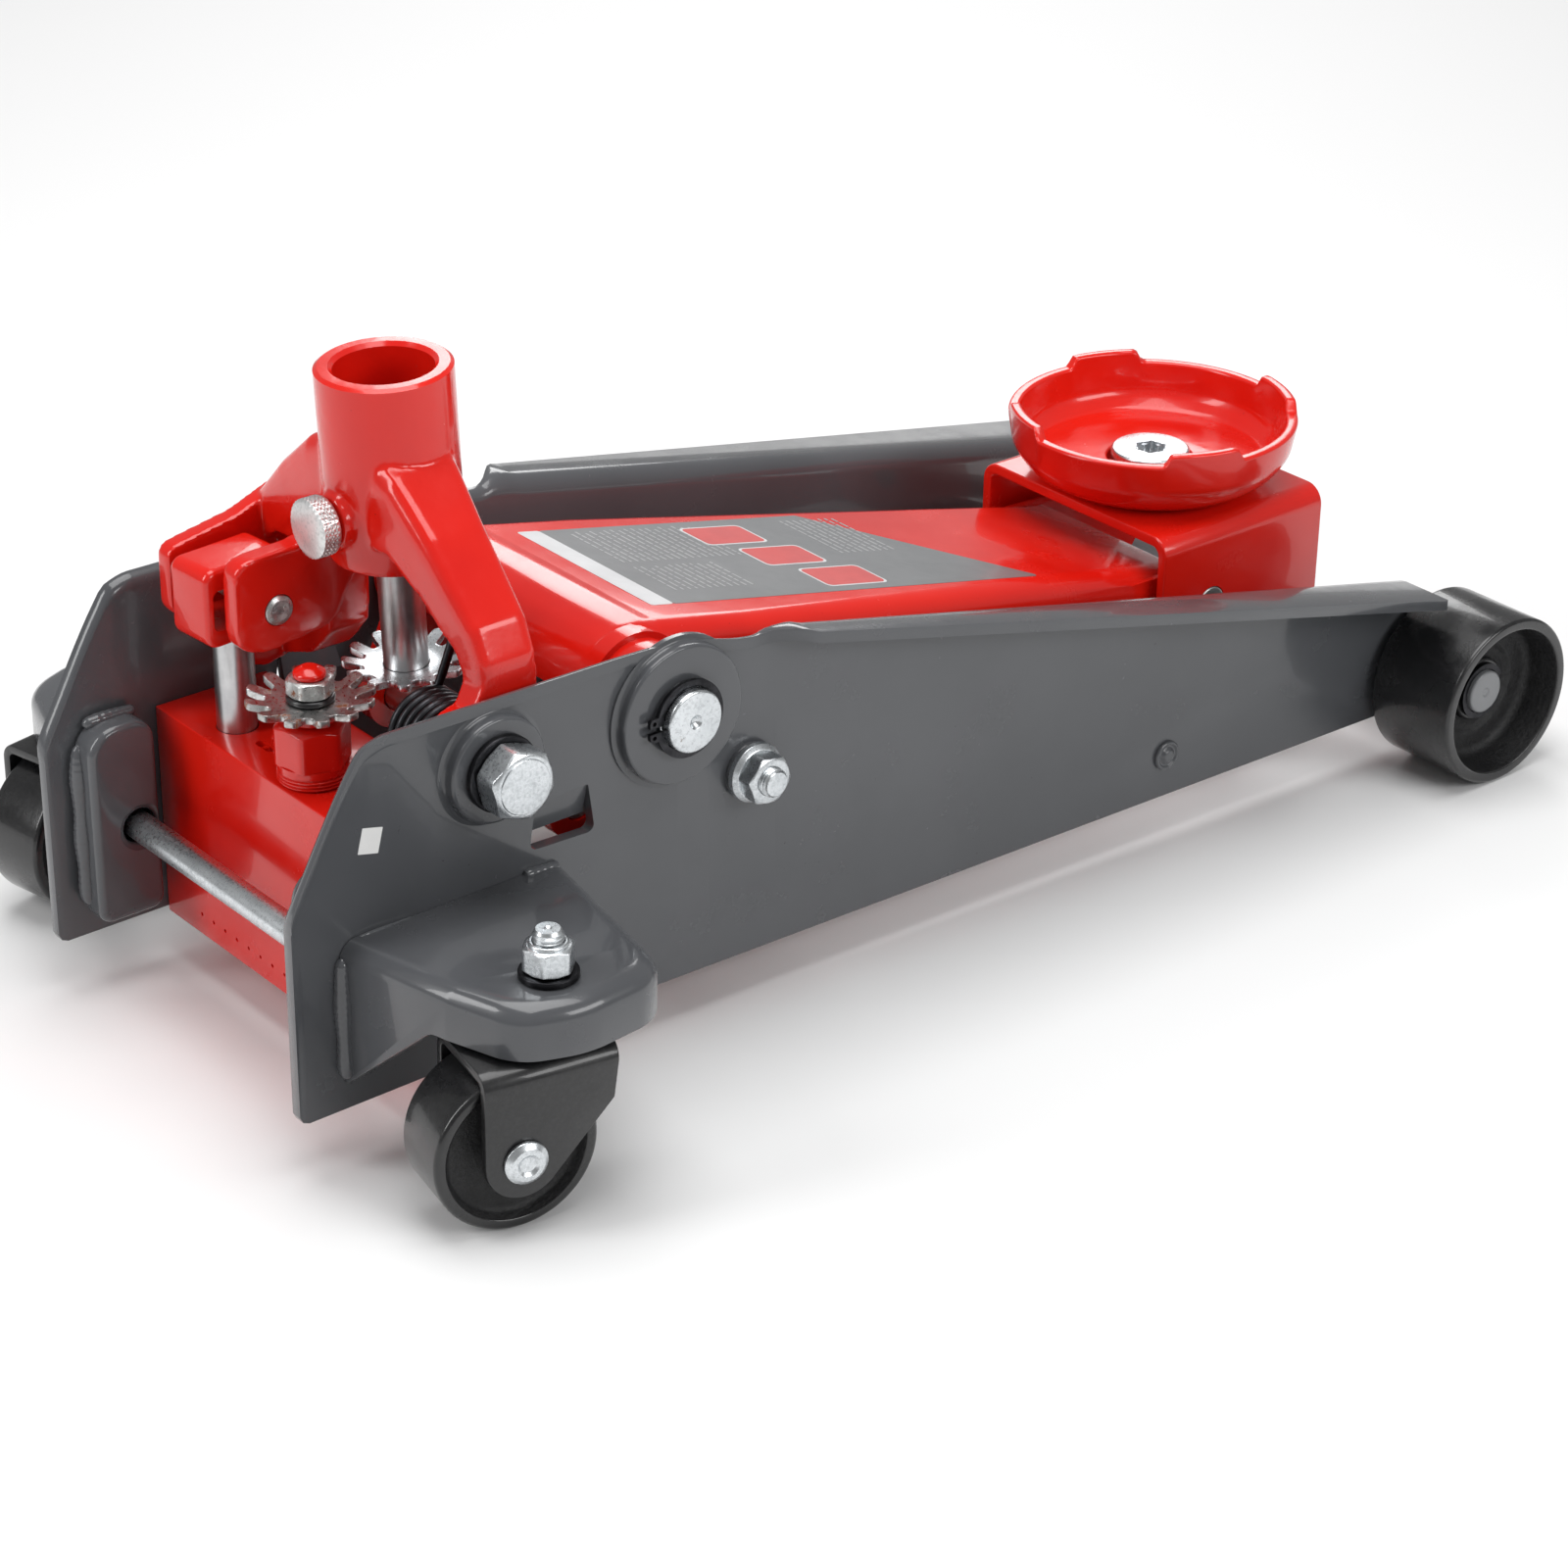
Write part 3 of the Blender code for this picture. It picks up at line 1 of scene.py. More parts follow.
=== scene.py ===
"""Looks of the hydraulic trolley jack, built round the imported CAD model.

Lengths are in millimetres and become metres when a mesh is made.  x is counted forward from the
rear edge of the side plates, y is to the left and z is up from the floor, as in the CAD source.
Each detailed piece takes the place of one CAD node and rides on that node's body.
"""
import math
import random

import bmesh
import bpy
from mathutils import Matrix, Vector


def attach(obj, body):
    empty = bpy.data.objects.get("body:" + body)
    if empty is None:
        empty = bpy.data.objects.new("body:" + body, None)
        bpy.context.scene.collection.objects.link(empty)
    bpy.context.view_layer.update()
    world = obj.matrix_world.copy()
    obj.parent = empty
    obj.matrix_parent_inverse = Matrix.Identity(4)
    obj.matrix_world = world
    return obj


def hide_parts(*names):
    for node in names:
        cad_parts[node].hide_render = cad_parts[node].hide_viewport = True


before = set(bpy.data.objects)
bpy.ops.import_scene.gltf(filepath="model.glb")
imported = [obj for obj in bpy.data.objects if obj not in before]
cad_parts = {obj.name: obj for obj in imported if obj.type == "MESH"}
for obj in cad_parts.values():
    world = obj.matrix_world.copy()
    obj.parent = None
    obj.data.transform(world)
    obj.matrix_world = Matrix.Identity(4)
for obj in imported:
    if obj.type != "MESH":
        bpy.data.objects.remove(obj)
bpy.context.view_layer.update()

MM = 0.001
GAP = 0.3
ROUND = 64                      # facets round a turned piece
LONG_SPAN = 100.0               # stretches at least this long between stations are straight
FILLET_SHARE = 0.49             # the most of a side that one fillet may take
CHAMFER_START = 0.94            # a nut's face radius as a share of half its width across flats
CHAMFER_SLOPE = 0.6             # how far that chamfer drops per unit of radius
WELD_STEP = 0.9
WELD_PITCH = 3.4                # steps per ripple

# ---- layout, the same numbers as the CAD ---------------------------------------------------
X_MIDDLE = 319.2
REAR_HALF_WIDTH = 90.0
FRONT_HALF_WIDTH = 104.3
SPREAD_START_X = 150.0
FLANGE_FRONT_X = 577.0
PLATE_THICKNESS = 5.0
HANDLE_PIVOT = (90.6, 145.0)
ARM_PIVOT = (178.0, 141.0)
LINK_ANCHOR = (214.0, 104.7)
ARM_TIP = (505.0, 80.0)
LINK_TIP = (ARM_TIP[0] + LINK_ANCHOR[0] - ARM_PIVOT[0], ARM_TIP[1] + LINK_ANCHOR[1] - ARM_PIVOT[1])
FRONT_AXLE = (599.4, 39.0)
TIE_ROD = (33.0, 71.0)
PLUG_WELD = (440.0, 42.0)
ARM_REAR_HALF_WIDTH = 66.0
ARM_FRONT_HALF_WIDTH = 50.0
ARM_WALL = 6.0
ARM_TOP_SLOPE = 0.223
ARM_TOP_Z = 163.0
ARM_REAR_X = 155.0
ARM_SLOPE_START_X = 195.0
ARM_TAPER_START_X = 240.0
ARM_TAPER_END_X = 473.0
ARM_SHAFT_RADIUS = 13.0
CRANK_PIN = (150.04, 99.55)
CRANK_PIN_RADIUS = 7.0
BLOCK_REAR_X = 51.0
BLOCK_FRONT_X = 106.0
BLOCK_BOTTOM_Z = 20.0
BLOCK_TOP_Z = 114.0
BLOCK_HALF_WIDTH = 84.4
PUNCHED_DOTS = 9
RAM_Z = 86.0
YOKE_Z = 95.27
RAM_RADIUS = 15.0
CYLINDER_RADIUS = 23.0
PLUNGER_AT = (67.5, 49.5)
PLUNGER_RADIUS = 8.2
PLUNGER_PIN = (72.0, 173.2)
PLUNGER_PIN_RADIUS = 6.2
VALVE_AT = (66.3, -6.8)
GEAR_TEETH = 12
GEAR_TIP_RADIUS = 25.6
GEAR_ROOT_RADIUS = 17.6
VALVE_GEAR_Z = 144.6
FILLER_AT = (74.0, 24.0)
SOCKET_TOP = (109.8, 272.7)
SOCKET_LEAN = 0.046
SOCKET_RADIUS = 26.5
SOCKET_BORE_RADIUS = 19.5
SOCKET_BOTTOM_Z = 195.0
RELEASE_SHAFT_RADIUS = 9.0
RELEASE_GEAR_Z = 143.0
CLAMP_SCREW_Z = 214.5
NEAR_CHEEK_Y = (21.6, 31.2)
FAR_CHEEK_Y = (63.8, 72.5)
CASTER_AT = (66.6, 157.3)
CASTER_TRAIL = 20.7
CASTER_YAW = math.radians(11.5)
CASTER_WHEEL_RADIUS = 32.9
CASTER_WHEEL_WIDTH = 30.0
BRACKET_TOP_Z = 94.3
BRACKET_WALL = 5.0
FORK_TOP_Z = 71.0
SADDLE_X = 522.0
SADDLE_RIM_RADIUS = 64.8
SADDLE_RIM_Z = 148.5
SADDLE_FLOOR_Z = 127.0
CARRIER_TOP_Z = 118.0
CARRIER_REAR_X = 475.0
CARRIER_FRONT_X = 573.0
CARRIER_HALF_WIDTH = 59.0
CARRIER_WALL = 5.0
LINK_ROD_Y = (70.0, 77.0)
FORK_HALF_WIDTH = 21.4
FORK_WALL = 4.0
FORK_BEND = 7.0
LUG_BEARING_DEG = 67.0
LUG_HALF_WIDTH_DEG = 17.0
LUG_RAMP_DEG = 3.4
LUG_HEIGHT = 5.0

SIDES = (("left", 1.0), ("right", -1.0))


# ============================================================================================
# Mesh helpers
# ============================================================================================
def metres(x, y, z):
    return ((x - X_MIDDLE) * MM, y * MM, z * MM)


def new_object(verts, faces):
    """A mesh object from points in millimetres, with its faces pointing out."""
    mesh = bpy.data.meshes.new("piece")
    mesh.from_pydata([metres(*point) for point in verts], [], faces)
    bm = bmesh.new()
    bm.from_mesh(mesh)
    bmesh.ops.remove_doubles(bm, verts=bm.verts, dist=1e-6)
    bmesh.ops.recalc_face_normals(bm, faces=bm.faces)
    bm.to_mesh(mesh)
    bm.free()
    obj = bpy.data.objects.new("piece", mesh)
    bpy.context.scene.collection.objects.link(obj)
    return obj


def arc(centre, radius, start_deg, end_deg, steps):
    points = []
    for i in range(steps + 1):
        angle = math.radians(start_deg + (end_deg - start_deg) * i / steps)
        points.append((centre[0] + radius * math.cos(angle), centre[1] + radius * math.sin(angle)))
    return points


def circle(centre, radius, sides=ROUND):
    return arc(centre, radius, 0.0, 360.0 * (sides - 1) / sides, sides - 1)


def rounded(corners, steps=5):
    """An outline from (x, y, fillet radius) corners; one without a radius stays sharp."""
    points = []
    count = len(corners)
    for i, (x, y, *fillet) in enumerate(corners):
        radius = fillet[0] if fillet else 0.0
        if radius <= 0.0:
            points.append((x, y))
            continue
        here = Vector((x, y))
        back = Vector(corners[i - 1][:2]) - here
        ahead = Vector(corners[(i + 1) % count][:2]) - here
        half = back.angle(ahead) / 2.0
        reach = min(radius / math.tan(half), FILLET_SHARE * back.length,
                    FILLET_SHARE * ahead.length)
        radius = reach * math.tan(half)
        inwards = (back.normalized() + ahead.normalized()).normalized()
        centre = here + inwards * (radius / math.sin(half))
        first = here + back.normalized() * reach - centre
        last = here + ahead.normalized() * reach - centre
        sweep = first.angle_signed(last)
        for step in range(steps + 1):
            spoke = first.copy()
            spoke.rotate(Matrix.Rotation(-sweep * step / steps, 2))
            points.append(tuple(centre + spoke))
    return points


def hull(points):
    """Convex outline round a set of points in a plane."""
    ordered = sorted(set((round(x, 4), round(y, 4)) for x, y in points))

    def half(sequence):
        chain = []
        for point in sequence:
            while len(chain) > 1:
                (ax, ay), (bx, by) = chain[-2], chain[-1]
                if (bx - ax) * (point[1] - ay) - (by - ay) * (point[0] - ax) > 1e-6:
                    break
                chain.pop()
            chain.append(point)
        return chain[:-1]

    return half(ordered) + half(ordered[::-1])


def at_axis(axis, u, v, along):
    if axis == "X":
        return (along, u, v)
    if axis == "Y":
        return (u, along, v)
    return (u, v, along)


def loft(sections, closed=False):
    """A skin over rows of points of equal count; closed joins the last row to the first."""
    count = len(sections[0])
    rows = len(sections)
    verts = [point for section in sections for point in section]
    faces = []
    if not closed:
        faces = [list(range(count)), list(range(len(verts) - count, len(verts)))]
    for s in range(rows if closed else rows - 1):
        after = (s + 1) % rows
        for i in range(count):
            j = (i + 1) % count
            faces.append([s * count + i, s * count + j, after * count + j, after * count + i])
    return new_object(verts, faces)


def prism(outline, axis, low, high):
    return loft([[at_axis(axis, u, v, along) for u, v in outline] for along in (low, high)])


def turned(profile, axis, centre, sides=ROUND):
    """A profile of (radius, position) turned about an axis; one that starts off it is a ring."""
    rings = []
    verts = []
    for radius, along in profile:
        steps = 1 if radius == 0.0 else sides
        rings.append([len(verts) + i for i in range(steps)])
        for i in range(steps):
            angle = 2.0 * math.pi * i / sides
            verts.append(at_axis(axis, centre[0] + radius * math.cos(angle),
                                 centre[1] + radius * math.sin(angle), along))
    solid = profile[0][0] == 0.0 and profile[-1][0] == 0.0
    pairs = list(zip(rings, rings[1:])) + ([] if solid else [(rings[-1], rings[0])])
    faces = []
    for one, two in pairs:
        for i in range(sides):
            j = (i + 1) % sides
            corners = [one[i % len(one)], one[j % len(one)], two[j % len(two)], two[i % len(two)]]
            faces.append(list(dict.fromkeys(corners)))
    return new_object(verts, faces)


def lathe(corners, axis, centre, steps=5, sides=ROUND):
    """A turned piece from (radius, position, fillet radius) corners."""
    return turned(rounded(corners, steps), axis, centre, sides)


def both_ways(half):
    """The corners of a piece that is alike on both sides of 0, from those of its positive half."""
    return ([(radius, -along, edge) for radius, along, edge in reversed(half)]
            + [corner for corner in half if corner[1] != 0.0])


def box(low, high, radii=0.0, steps=5):
    """A rectangle's outline; a tuple gives each corner its fillet, starting at the low corner."""
    (u_low, v_low), (u_high, v_high) = low, high
    corners = ((u_low, v_low), (u_high, v_low), (u_high, v_high), (u_low, v_high))
    fillets = radii if isinstance(radii, tuple) else (radii,) * len(corners)
    return rounded([(u, v, fillet) for (u, v), fillet in zip(corners, fillets)], steps)


def channel_outline(half, bottom, top, wall, outer, inner, outer_steps, inner_steps):
    """An upside-down U in (y, z), with its two bends rounded outside and inside."""
    inner_half, inner_top = half - wall, top - wall
    loop = [(-half, bottom)]
    loop += arc((-half + outer, top - outer), outer, 180.0, 90.0, outer_steps)
    loop += arc((half - outer, top - outer), outer, 90.0, 0.0, outer_steps)
    loop += [(half, bottom), (inner_half, bottom)]
    loop += arc((inner_half - inner, inner_top - inner), inner, 0.0, 90.0, inner_steps)
    loop += arc((-inner_half + inner, inner_top - inner), inner, 90.0, 180.0, inner_steps)
    return loop + [(-inner_half, bottom)]


def rod(axis, centre, radius, low, high, edge=0.0, sides=ROUND):
    """A round bar along an axis, with its ends rounded."""
    return lathe([(0.0, low), (radius, low, edge), (radius, high, edge), (0.0, high)], axis, centre,
                 4, sides)


def thread(radius, depth, pitch, low, high):
    """The (radius, position) profile of a screw thread, from low to high."""
    count = max(1, round(abs(high - low) / pitch))
    step = (high - low) / count
    profile = []
    for i in range(count):
        base = low + step * i
        profile += [(radius - depth, base + 0.08 * step), (radius, base + 0.42 * step),
                    (radius, base + 0.58 * step), (radius - depth, base + 0.92 * step)]
    return profile


def hexagon(axis, centre, across, low, high, turn_deg):
    """A hexagon whose corners are turned off by a cone at both ends, as on a nut."""
    flat = across / 2.0
    corner = flat / math.cos(math.pi / 6.0)
    start = CHAMFER_START * flat
    drop = (corner - start) * CHAMFER_SLOPE
    levels = [low + drop * i / 6.0 for i in range(7)] + [high - drop * i / 6.0
                                                         for i in range(6, -1, -1)]
    rows = []
    for along in levels:
        cone = start + min(along - low, high - along) / CHAMFER_SLOPE
        row = []
        for i in range(72):
            bearing = math.radians(5.0 * i)
            radius = flat / math.cos((bearing + math.pi / 6.0) % (math.pi / 3.0) - math.pi / 6.0)
            radius = min(radius, corner - 0.35, cone)
            angle = bearing + math.radians(turn_deg)
            row.append(at_axis(axis, centre[0] + radius * math.cos(angle),
                               centre[1] + radius * math.sin(angle), along))
        rows.append(row)
    return loft(rows)


def applied(obj):
    """Put the result of an object's modifiers into its mesh."""
    bpy.context.view_layer.update()
    evaluated = obj.evaluated_get(bpy.context.evaluated_depsgraph_get())
    mesh = bpy.data.meshes.new_from_object(evaluated)
    obj.modifiers.clear()
    obj.data = mesh
    return obj


def combine(target, tool, operation):
    modifier = target.modifiers.new("combine", "BOOLEAN")
    modifier.operation = operation
    modifier.solver = "MANIFOLD"
    modifier.object = tool
    applied(target)
    bpy.data.objects.remove(tool)
    return target


def join(target, *tools):
    for tool in tools:
        combine(target, tool, "UNION")
    return target


def cut(target, *tools):
    for tool in tools:
        combine(target, tool, "DIFFERENCE")
    return target


def soften(obj, width, segments=3, angle_deg=35.0):
    """Round the sharp edges of a piece."""
    modifier = obj.modifiers.new("soften", "BEVEL")
    modifier.width = width * MM
    modifier.segments = segments
    modifier.limit_method = "ANGLE"
    modifier.angle_limit = math.radians(angle_deg)
    modifier.miter_outer = "MITER_ARC"
    return applied(obj)


def cast(obj, grain, passes):
    """Melt a piece's inner and outer corners together, as in a sand casting."""
    remesh = obj.modifiers.new("remesh", "REMESH")
    remesh.mode = "VOXEL"
    remesh.voxel_size = grain * MM
    smooth = obj.modifiers.new("smooth", "SMOOTH")
    smooth.factor = 0.5
    smooth.iterations = passes
    return applied(obj)


def turn_about(obj, pivot, direction, angle):
    at = Vector(metres(*pivot))
    turn = Matrix.Rotation(angle, 4, direction)
    obj.data.transform(Matrix.Translation(at) @ turn @ Matrix.Translation(-at))
    return obj


def mirrored(obj):
    copy = bpy.data.objects.new("piece", obj.data.copy())
    copy.data.transform(Matrix.Scale(-1.0, 4, Vector((0.0, 1.0, 0.0))))
    copy.data.flip_normals()
    bpy.context.scene.collection.objects.link(copy)
    return copy


def swept(path, radius_at, sides=14):
    """A round section carried along a path; radius_at takes the number of a point on it."""
    rows = []
    for i, point in enumerate(path):
        tangent = (path[min(i + 1, len(path) - 1)] - path[max(i - 1, 0)]).normalized()
        helper = Vector((0.0, 1.0, 0.0)) if abs(tangent.y) < 0.8 else Vector((0.0, 0.0, 1.0))
        across = tangent.cross(helper).normalized()
        over = across.cross(tangent)
        radius = radius_at(i)
        rows.append([tuple(point + radius * (math.cos(2.0 * math.pi * s / sides) * across
                                             + math.sin(2.0 * math.pi * s / sides) * over))
                     for s in range(sides)])
    return loft(rows)


def weld_bead(start, end, radius, seed):
    """A run of weld: a bead with overlapping ripples and an uneven width."""
    start, end = Vector(start), Vector(end)
    steps = max(10, int((end - start).length / WELD_STEP))
    sway = random.Random(seed).uniform(0.0, 6.0)
    path = [start.lerp(end, i / steps) for i in range(steps + 1)]

    def radius_at(i):
        cap = math.sqrt(max(0.02, 1.0 - (2.0 * i / steps - 1.0) ** 8))
        ripple = 0.035 * math.cos(2.0 * math.pi * i / WELD_PITCH)
        swell = 0.1 * math.sin(0.21 * i + sway)
        return radius * cap * (1.0 + ripple + swell)

    return swept(path, radius_at)


def weld_pairs(stem, beads, seed):
    """Numbered runs of weld on both sides, from (start, end, radius), each with its own seed."""
    for number, (start, end, radius) in enumerate(beads, 1):
        bead = weld_bead(start, end, radius, seed + number)
        pair(bead, "grey_weld", "frame", f"{stem}_{number}", False)


def piece(obj, look, body, *nodes, name=None, sharp_deg=34.0):
    """Name a finished piece, give it its material and put it on its body in place of its node."""
    obj.name = name or nodes[0] + "_detail"
    obj.data.name = obj.name
    material, slot_name = LOOKS[look]
    if not obj.data.materials or obj.data.materials[0] is None:
        obj.data.materials.clear()
        obj.data.materials.append(material)
    obj.data.polygons.foreach_set("use_smooth", [True] * len(obj.data.polygons))
    obj.data.set_sharp_from_angle(angle=math.radians(sharp_deg))
    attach(obj, body)
    if nodes:
        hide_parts(*nodes)
    return obj


def pair(obj, look, body, stem, replace=True):
    """A left piece and its mirror image on the right; a body of {} takes the side's name."""
    other = mirrored(obj)
    for shape, side in ((obj, "left"), (other, "right")):
        nodes = [stem + "_" + side] if replace else []
        piece(shape, look, body.format(side), *nodes, name=stem + "_" + side + "_detail")


def second_look(obj, first, second, test):
    """Two materials on one piece: the second goes on faces whose centre passes the test."""
    obj.data.materials.clear()
    obj.data.materials.append(LOOKS[first][0])
    obj.data.materials.append(LOOKS[second][0])
    for polygon in obj.data.polygons:
        x, y, z = polygon.center
        polygon.material_index = 1 if test(x / MM + X_MIDDLE, y / MM, z / MM) else 0
    return obj


# ============================================================================================
# Materials
# ============================================================================================
class Graph:
    """Shorthand for one material's nodes.  Texture space is the jack's own, in metres."""

    def __init__(self, name, roughness, metallic=0.0, coat=0.0):
        self.material = bpy.data.materials.new(name)
        self.material.use_nodes = True
        self.tree = self.material.node_tree
        self.shader = self.tree.nodes["Principled BSDF"]
        self.shader.inputs["Metallic"].default_value = metallic
        self.shader.inputs["Roughness"].default_value = roughness
        self.shader.inputs["Coat Weight"].default_value = coat
        self.shader.inputs["Coat Roughness"].default_value = 0.04
        self.place = self.add("ShaderNodeTexCoord").outputs["Object"]
        self.normal = None

    def add(self, kind, inputs=None, **settings):
        node = self.tree.nodes.new(kind)
        for key, value in settings.items():
            setattr(node, key, value)
        for key, value in (inputs or {}).items():
            if isinstance(value, bpy.types.NodeSocket):
                self.tree.links.new(value, node.inputs[key])
            else:
                node.inputs[key].default_value = value
        return node

    def stretched(self, scale):
        return self.add("ShaderNodeMapping", {"Vector": self.place,
                                              "Scale": scale}).outputs["Vector"]

    def noise(self, scale, detail=3.0, rough=0.55, space=None):
        return self.add("ShaderNodeTexNoise", {"Vector": space or self.place, "Scale": scale,
                                               "Detail": detail, "Roughness": rough}).outputs["Fac"]

    def step(self, value, low, high, at_low=0.0, at_high=1.0):
        return self.add("ShaderNodeMapRange", {"Value": value, "From Min": low, "From Max": high,
                                               "To Min": at_low, "To Max": at_high},
                        interpolation_type="SMOOTHSTEP").outputs["Result"]

    def times(self, first, second):
        return self.add("ShaderNodeMath", {0: first, 1: second}, operation="MULTIPLY").outputs[0]

    def mix(self, share, first, second):
        return self.add("ShaderNodeMix", {0: share, 6: opaque(first), 7: opaque(second)},
                        data_type="RGBA").outputs[2]

    def edges(self, low, high):
        """How far a point is on a sharp outer edge, where paint is rubbed and an edge highlight is
        painted.
        """
        return self.step(self.add("ShaderNodeNewGeometry").outputs["Pointiness"], low, high)

    def bump(self, height, distance_mm, strength=1.0):
        inputs = {"Height": height, "Distance": distance_mm * MM, "Strength": strength}
        if self.normal:
            inputs["Normal"] = self.normal
        self.normal = self.add("ShaderNodeBump", inputs).outputs["Normal"]

    def done(self, colour, roughness=None):
        self.tree.links.new(colour, self.shader.inputs["Base Color"])
        if roughness:
            self.tree.links.new(roughness, self.shader.inputs["Roughness"])
        if self.normal:
            self.tree.links.new(self.normal, self.shader.inputs["Normal"])
        return self.material


def opaque(colour):
    return (*colour, 1.0) if isinstance(colour, tuple) else colour


def enamel(name, colour, deep, peel_mm, casting_mm=0.0, gloss=(0.16, 0.3)):
    """Thick glossy paint: broad colour drift, orange peel, specks of dirt, and outer edges moved
    towards a primer tone, partly rubbed paint and partly a painted edge highlight.
    """
    g = Graph(name, gloss[0], coat=0.45)
    g.shader.inputs["Specular IOR Level"].default_value = 0.35
    paint = g.mix(g.step(g.noise(7.0, 4.0), 0.35, 0.68), colour, deep)
    specks = g.times(g.step(g.noise(420.0, 2.0, 0.7), 0.72, 0.78),
                     g.step(g.noise(18.0, 2.0), 0.5, 0.62))
    paint = g.mix(g.times(specks, 0.7), paint, tuple(0.25 * part for part in deep))
    # painted highlight mixed with wear: sharp outer edges go part way to a primer tone, which
    # lightens the grey paint
    rubbed_and_highlit_edges = g.times(g.edges(0.56, 0.64), g.step(g.noise(90.0, 5.0, 0.75), 0.62, 0.72))
    paint = g.mix(g.times(rubbed_and_highlit_edges, 0.5), paint, PRIMER_AND_EDGE_HIGHLIGHT)
    g.bump(g.noise(210.0, 2.0, 0.4), peel_mm)
    if casting_mm:
        g.bump(g.noise(75.0, 3.0, 0.5), casting_mm)
    return g.done(paint, g.step(g.noise(34.0, 5.0, 0.65), 0.3, 0.75, gloss[0], gloss[1]))


def bare_metal(name, light, dark, gloss, grain_mm, streak=None, rust=0.0, grease=0.0):
    """Plated or machined steel: patchy brightness, grain or streaks, spots of rust or grease."""
    g = Graph(name, gloss[0], metallic=1.0)
    patches = g.noise(55.0, 5.0, 0.6)
    colour = g.mix(g.step(patches, 0.3, 0.72), light, dark)
    space = g.stretched(streak) if streak else None
    grain = g.noise(700.0 if not streak else 160.0, 4.0, 0.7, space)
    colour = g.mix(g.step(grain, 0.42, 0.75, 0.0, 0.45), colour,
                   tuple(0.45 * part for part in dark))
    rough = g.step(grain, 0.3, 0.75, gloss[0], gloss[1])
    for amount, tint in ((rust, (0.21, 0.062, 0.018)), (grease, (0.19, 0.1, 0.045))):
        if amount:
            spots = g.times(g.step(g.noise(95.0, 6.0, 0.72), 0.72 - 0.3 * amount,
                                   0.8 - 0.3 * amount), g.step(g.noise(300.0, 3.0, 0.7), 0.35, 0.5))
            colour = g.mix(spots, colour, tint)
            rough = g.add("ShaderNodeMix", {0: spots, 2: rough, 3: 0.75},
                          data_type="FLOAT").outputs[0]
            metal = g.step(spots, 0.0, 1.0, 1.0, 0.15)
            g.tree.links.new(metal, g.shader.inputs["Metallic"])
            g.bump(spots, 0.06)
    g.bump(grain, grain_mm)
    return g.done(colour, rough)


def cast_black(name, gloss, pores_mm, dust):
    """Black dipped iron, smooth where it rolls and pitted in the hollows."""
    g = Graph(name, gloss[0], coat=0.35 if pores_mm < 0.1 else 0.0)
    pits = g.noise(520.0, 5.0, 0.75)
    colour = g.mix(g.step(pits, 0.35, 0.75), (0.0045, 0.0045, 0.005), (0.014, 0.014, 0.015))
    colour = g.mix(g.times(g.step(g.noise(640.0, 3.0, 0.8), 0.66, 0.74), dust), colour,
                   (0.16, 0.15, 0.13))
    g.bump(pits, pores_mm)
    g.bump(g.noise(110.0, 3.0), pores_mm * 1.4)
    return g.done(colour, g.step(g.noise(45.0, 4.0), 0.3, 0.7, gloss[0], gloss[1]))


def printed(name, colour, deep, roughness):
    """Laminated film: a faint print texture under a smooth surface."""
    g = Graph(name, roughness, coat=0.5)
    g.bump(g.noise(140.0, 2.0), 0.015)
    return g.done(g.mix(g.step(g.noise(60.0, 4.0), 0.3, 0.7), colour, deep),
                  g.step(g.noise(30.0, 3.0), 0.3, 0.7, roughness, roughness + 0.08))


RED = (0.72, 0.013, 0.005)
RED_DEEP = (0.62, 0.008, 0.004)
GREY = (0.085, 0.088, 0.095)
GREY_DEEP = (0.07, 0.073, 0.079)
# primer tone of rubbed edges, also used as a painted highlight on the edges of the grey paint
PRIMER_AND_EDGE_HIGHLIGHT = (0.11, 0.105, 0.1)
WHITE_ZINC = (0.72, 0.75, 0.77)
DULL_ZINC = (0.6, 0.63, 0.65)

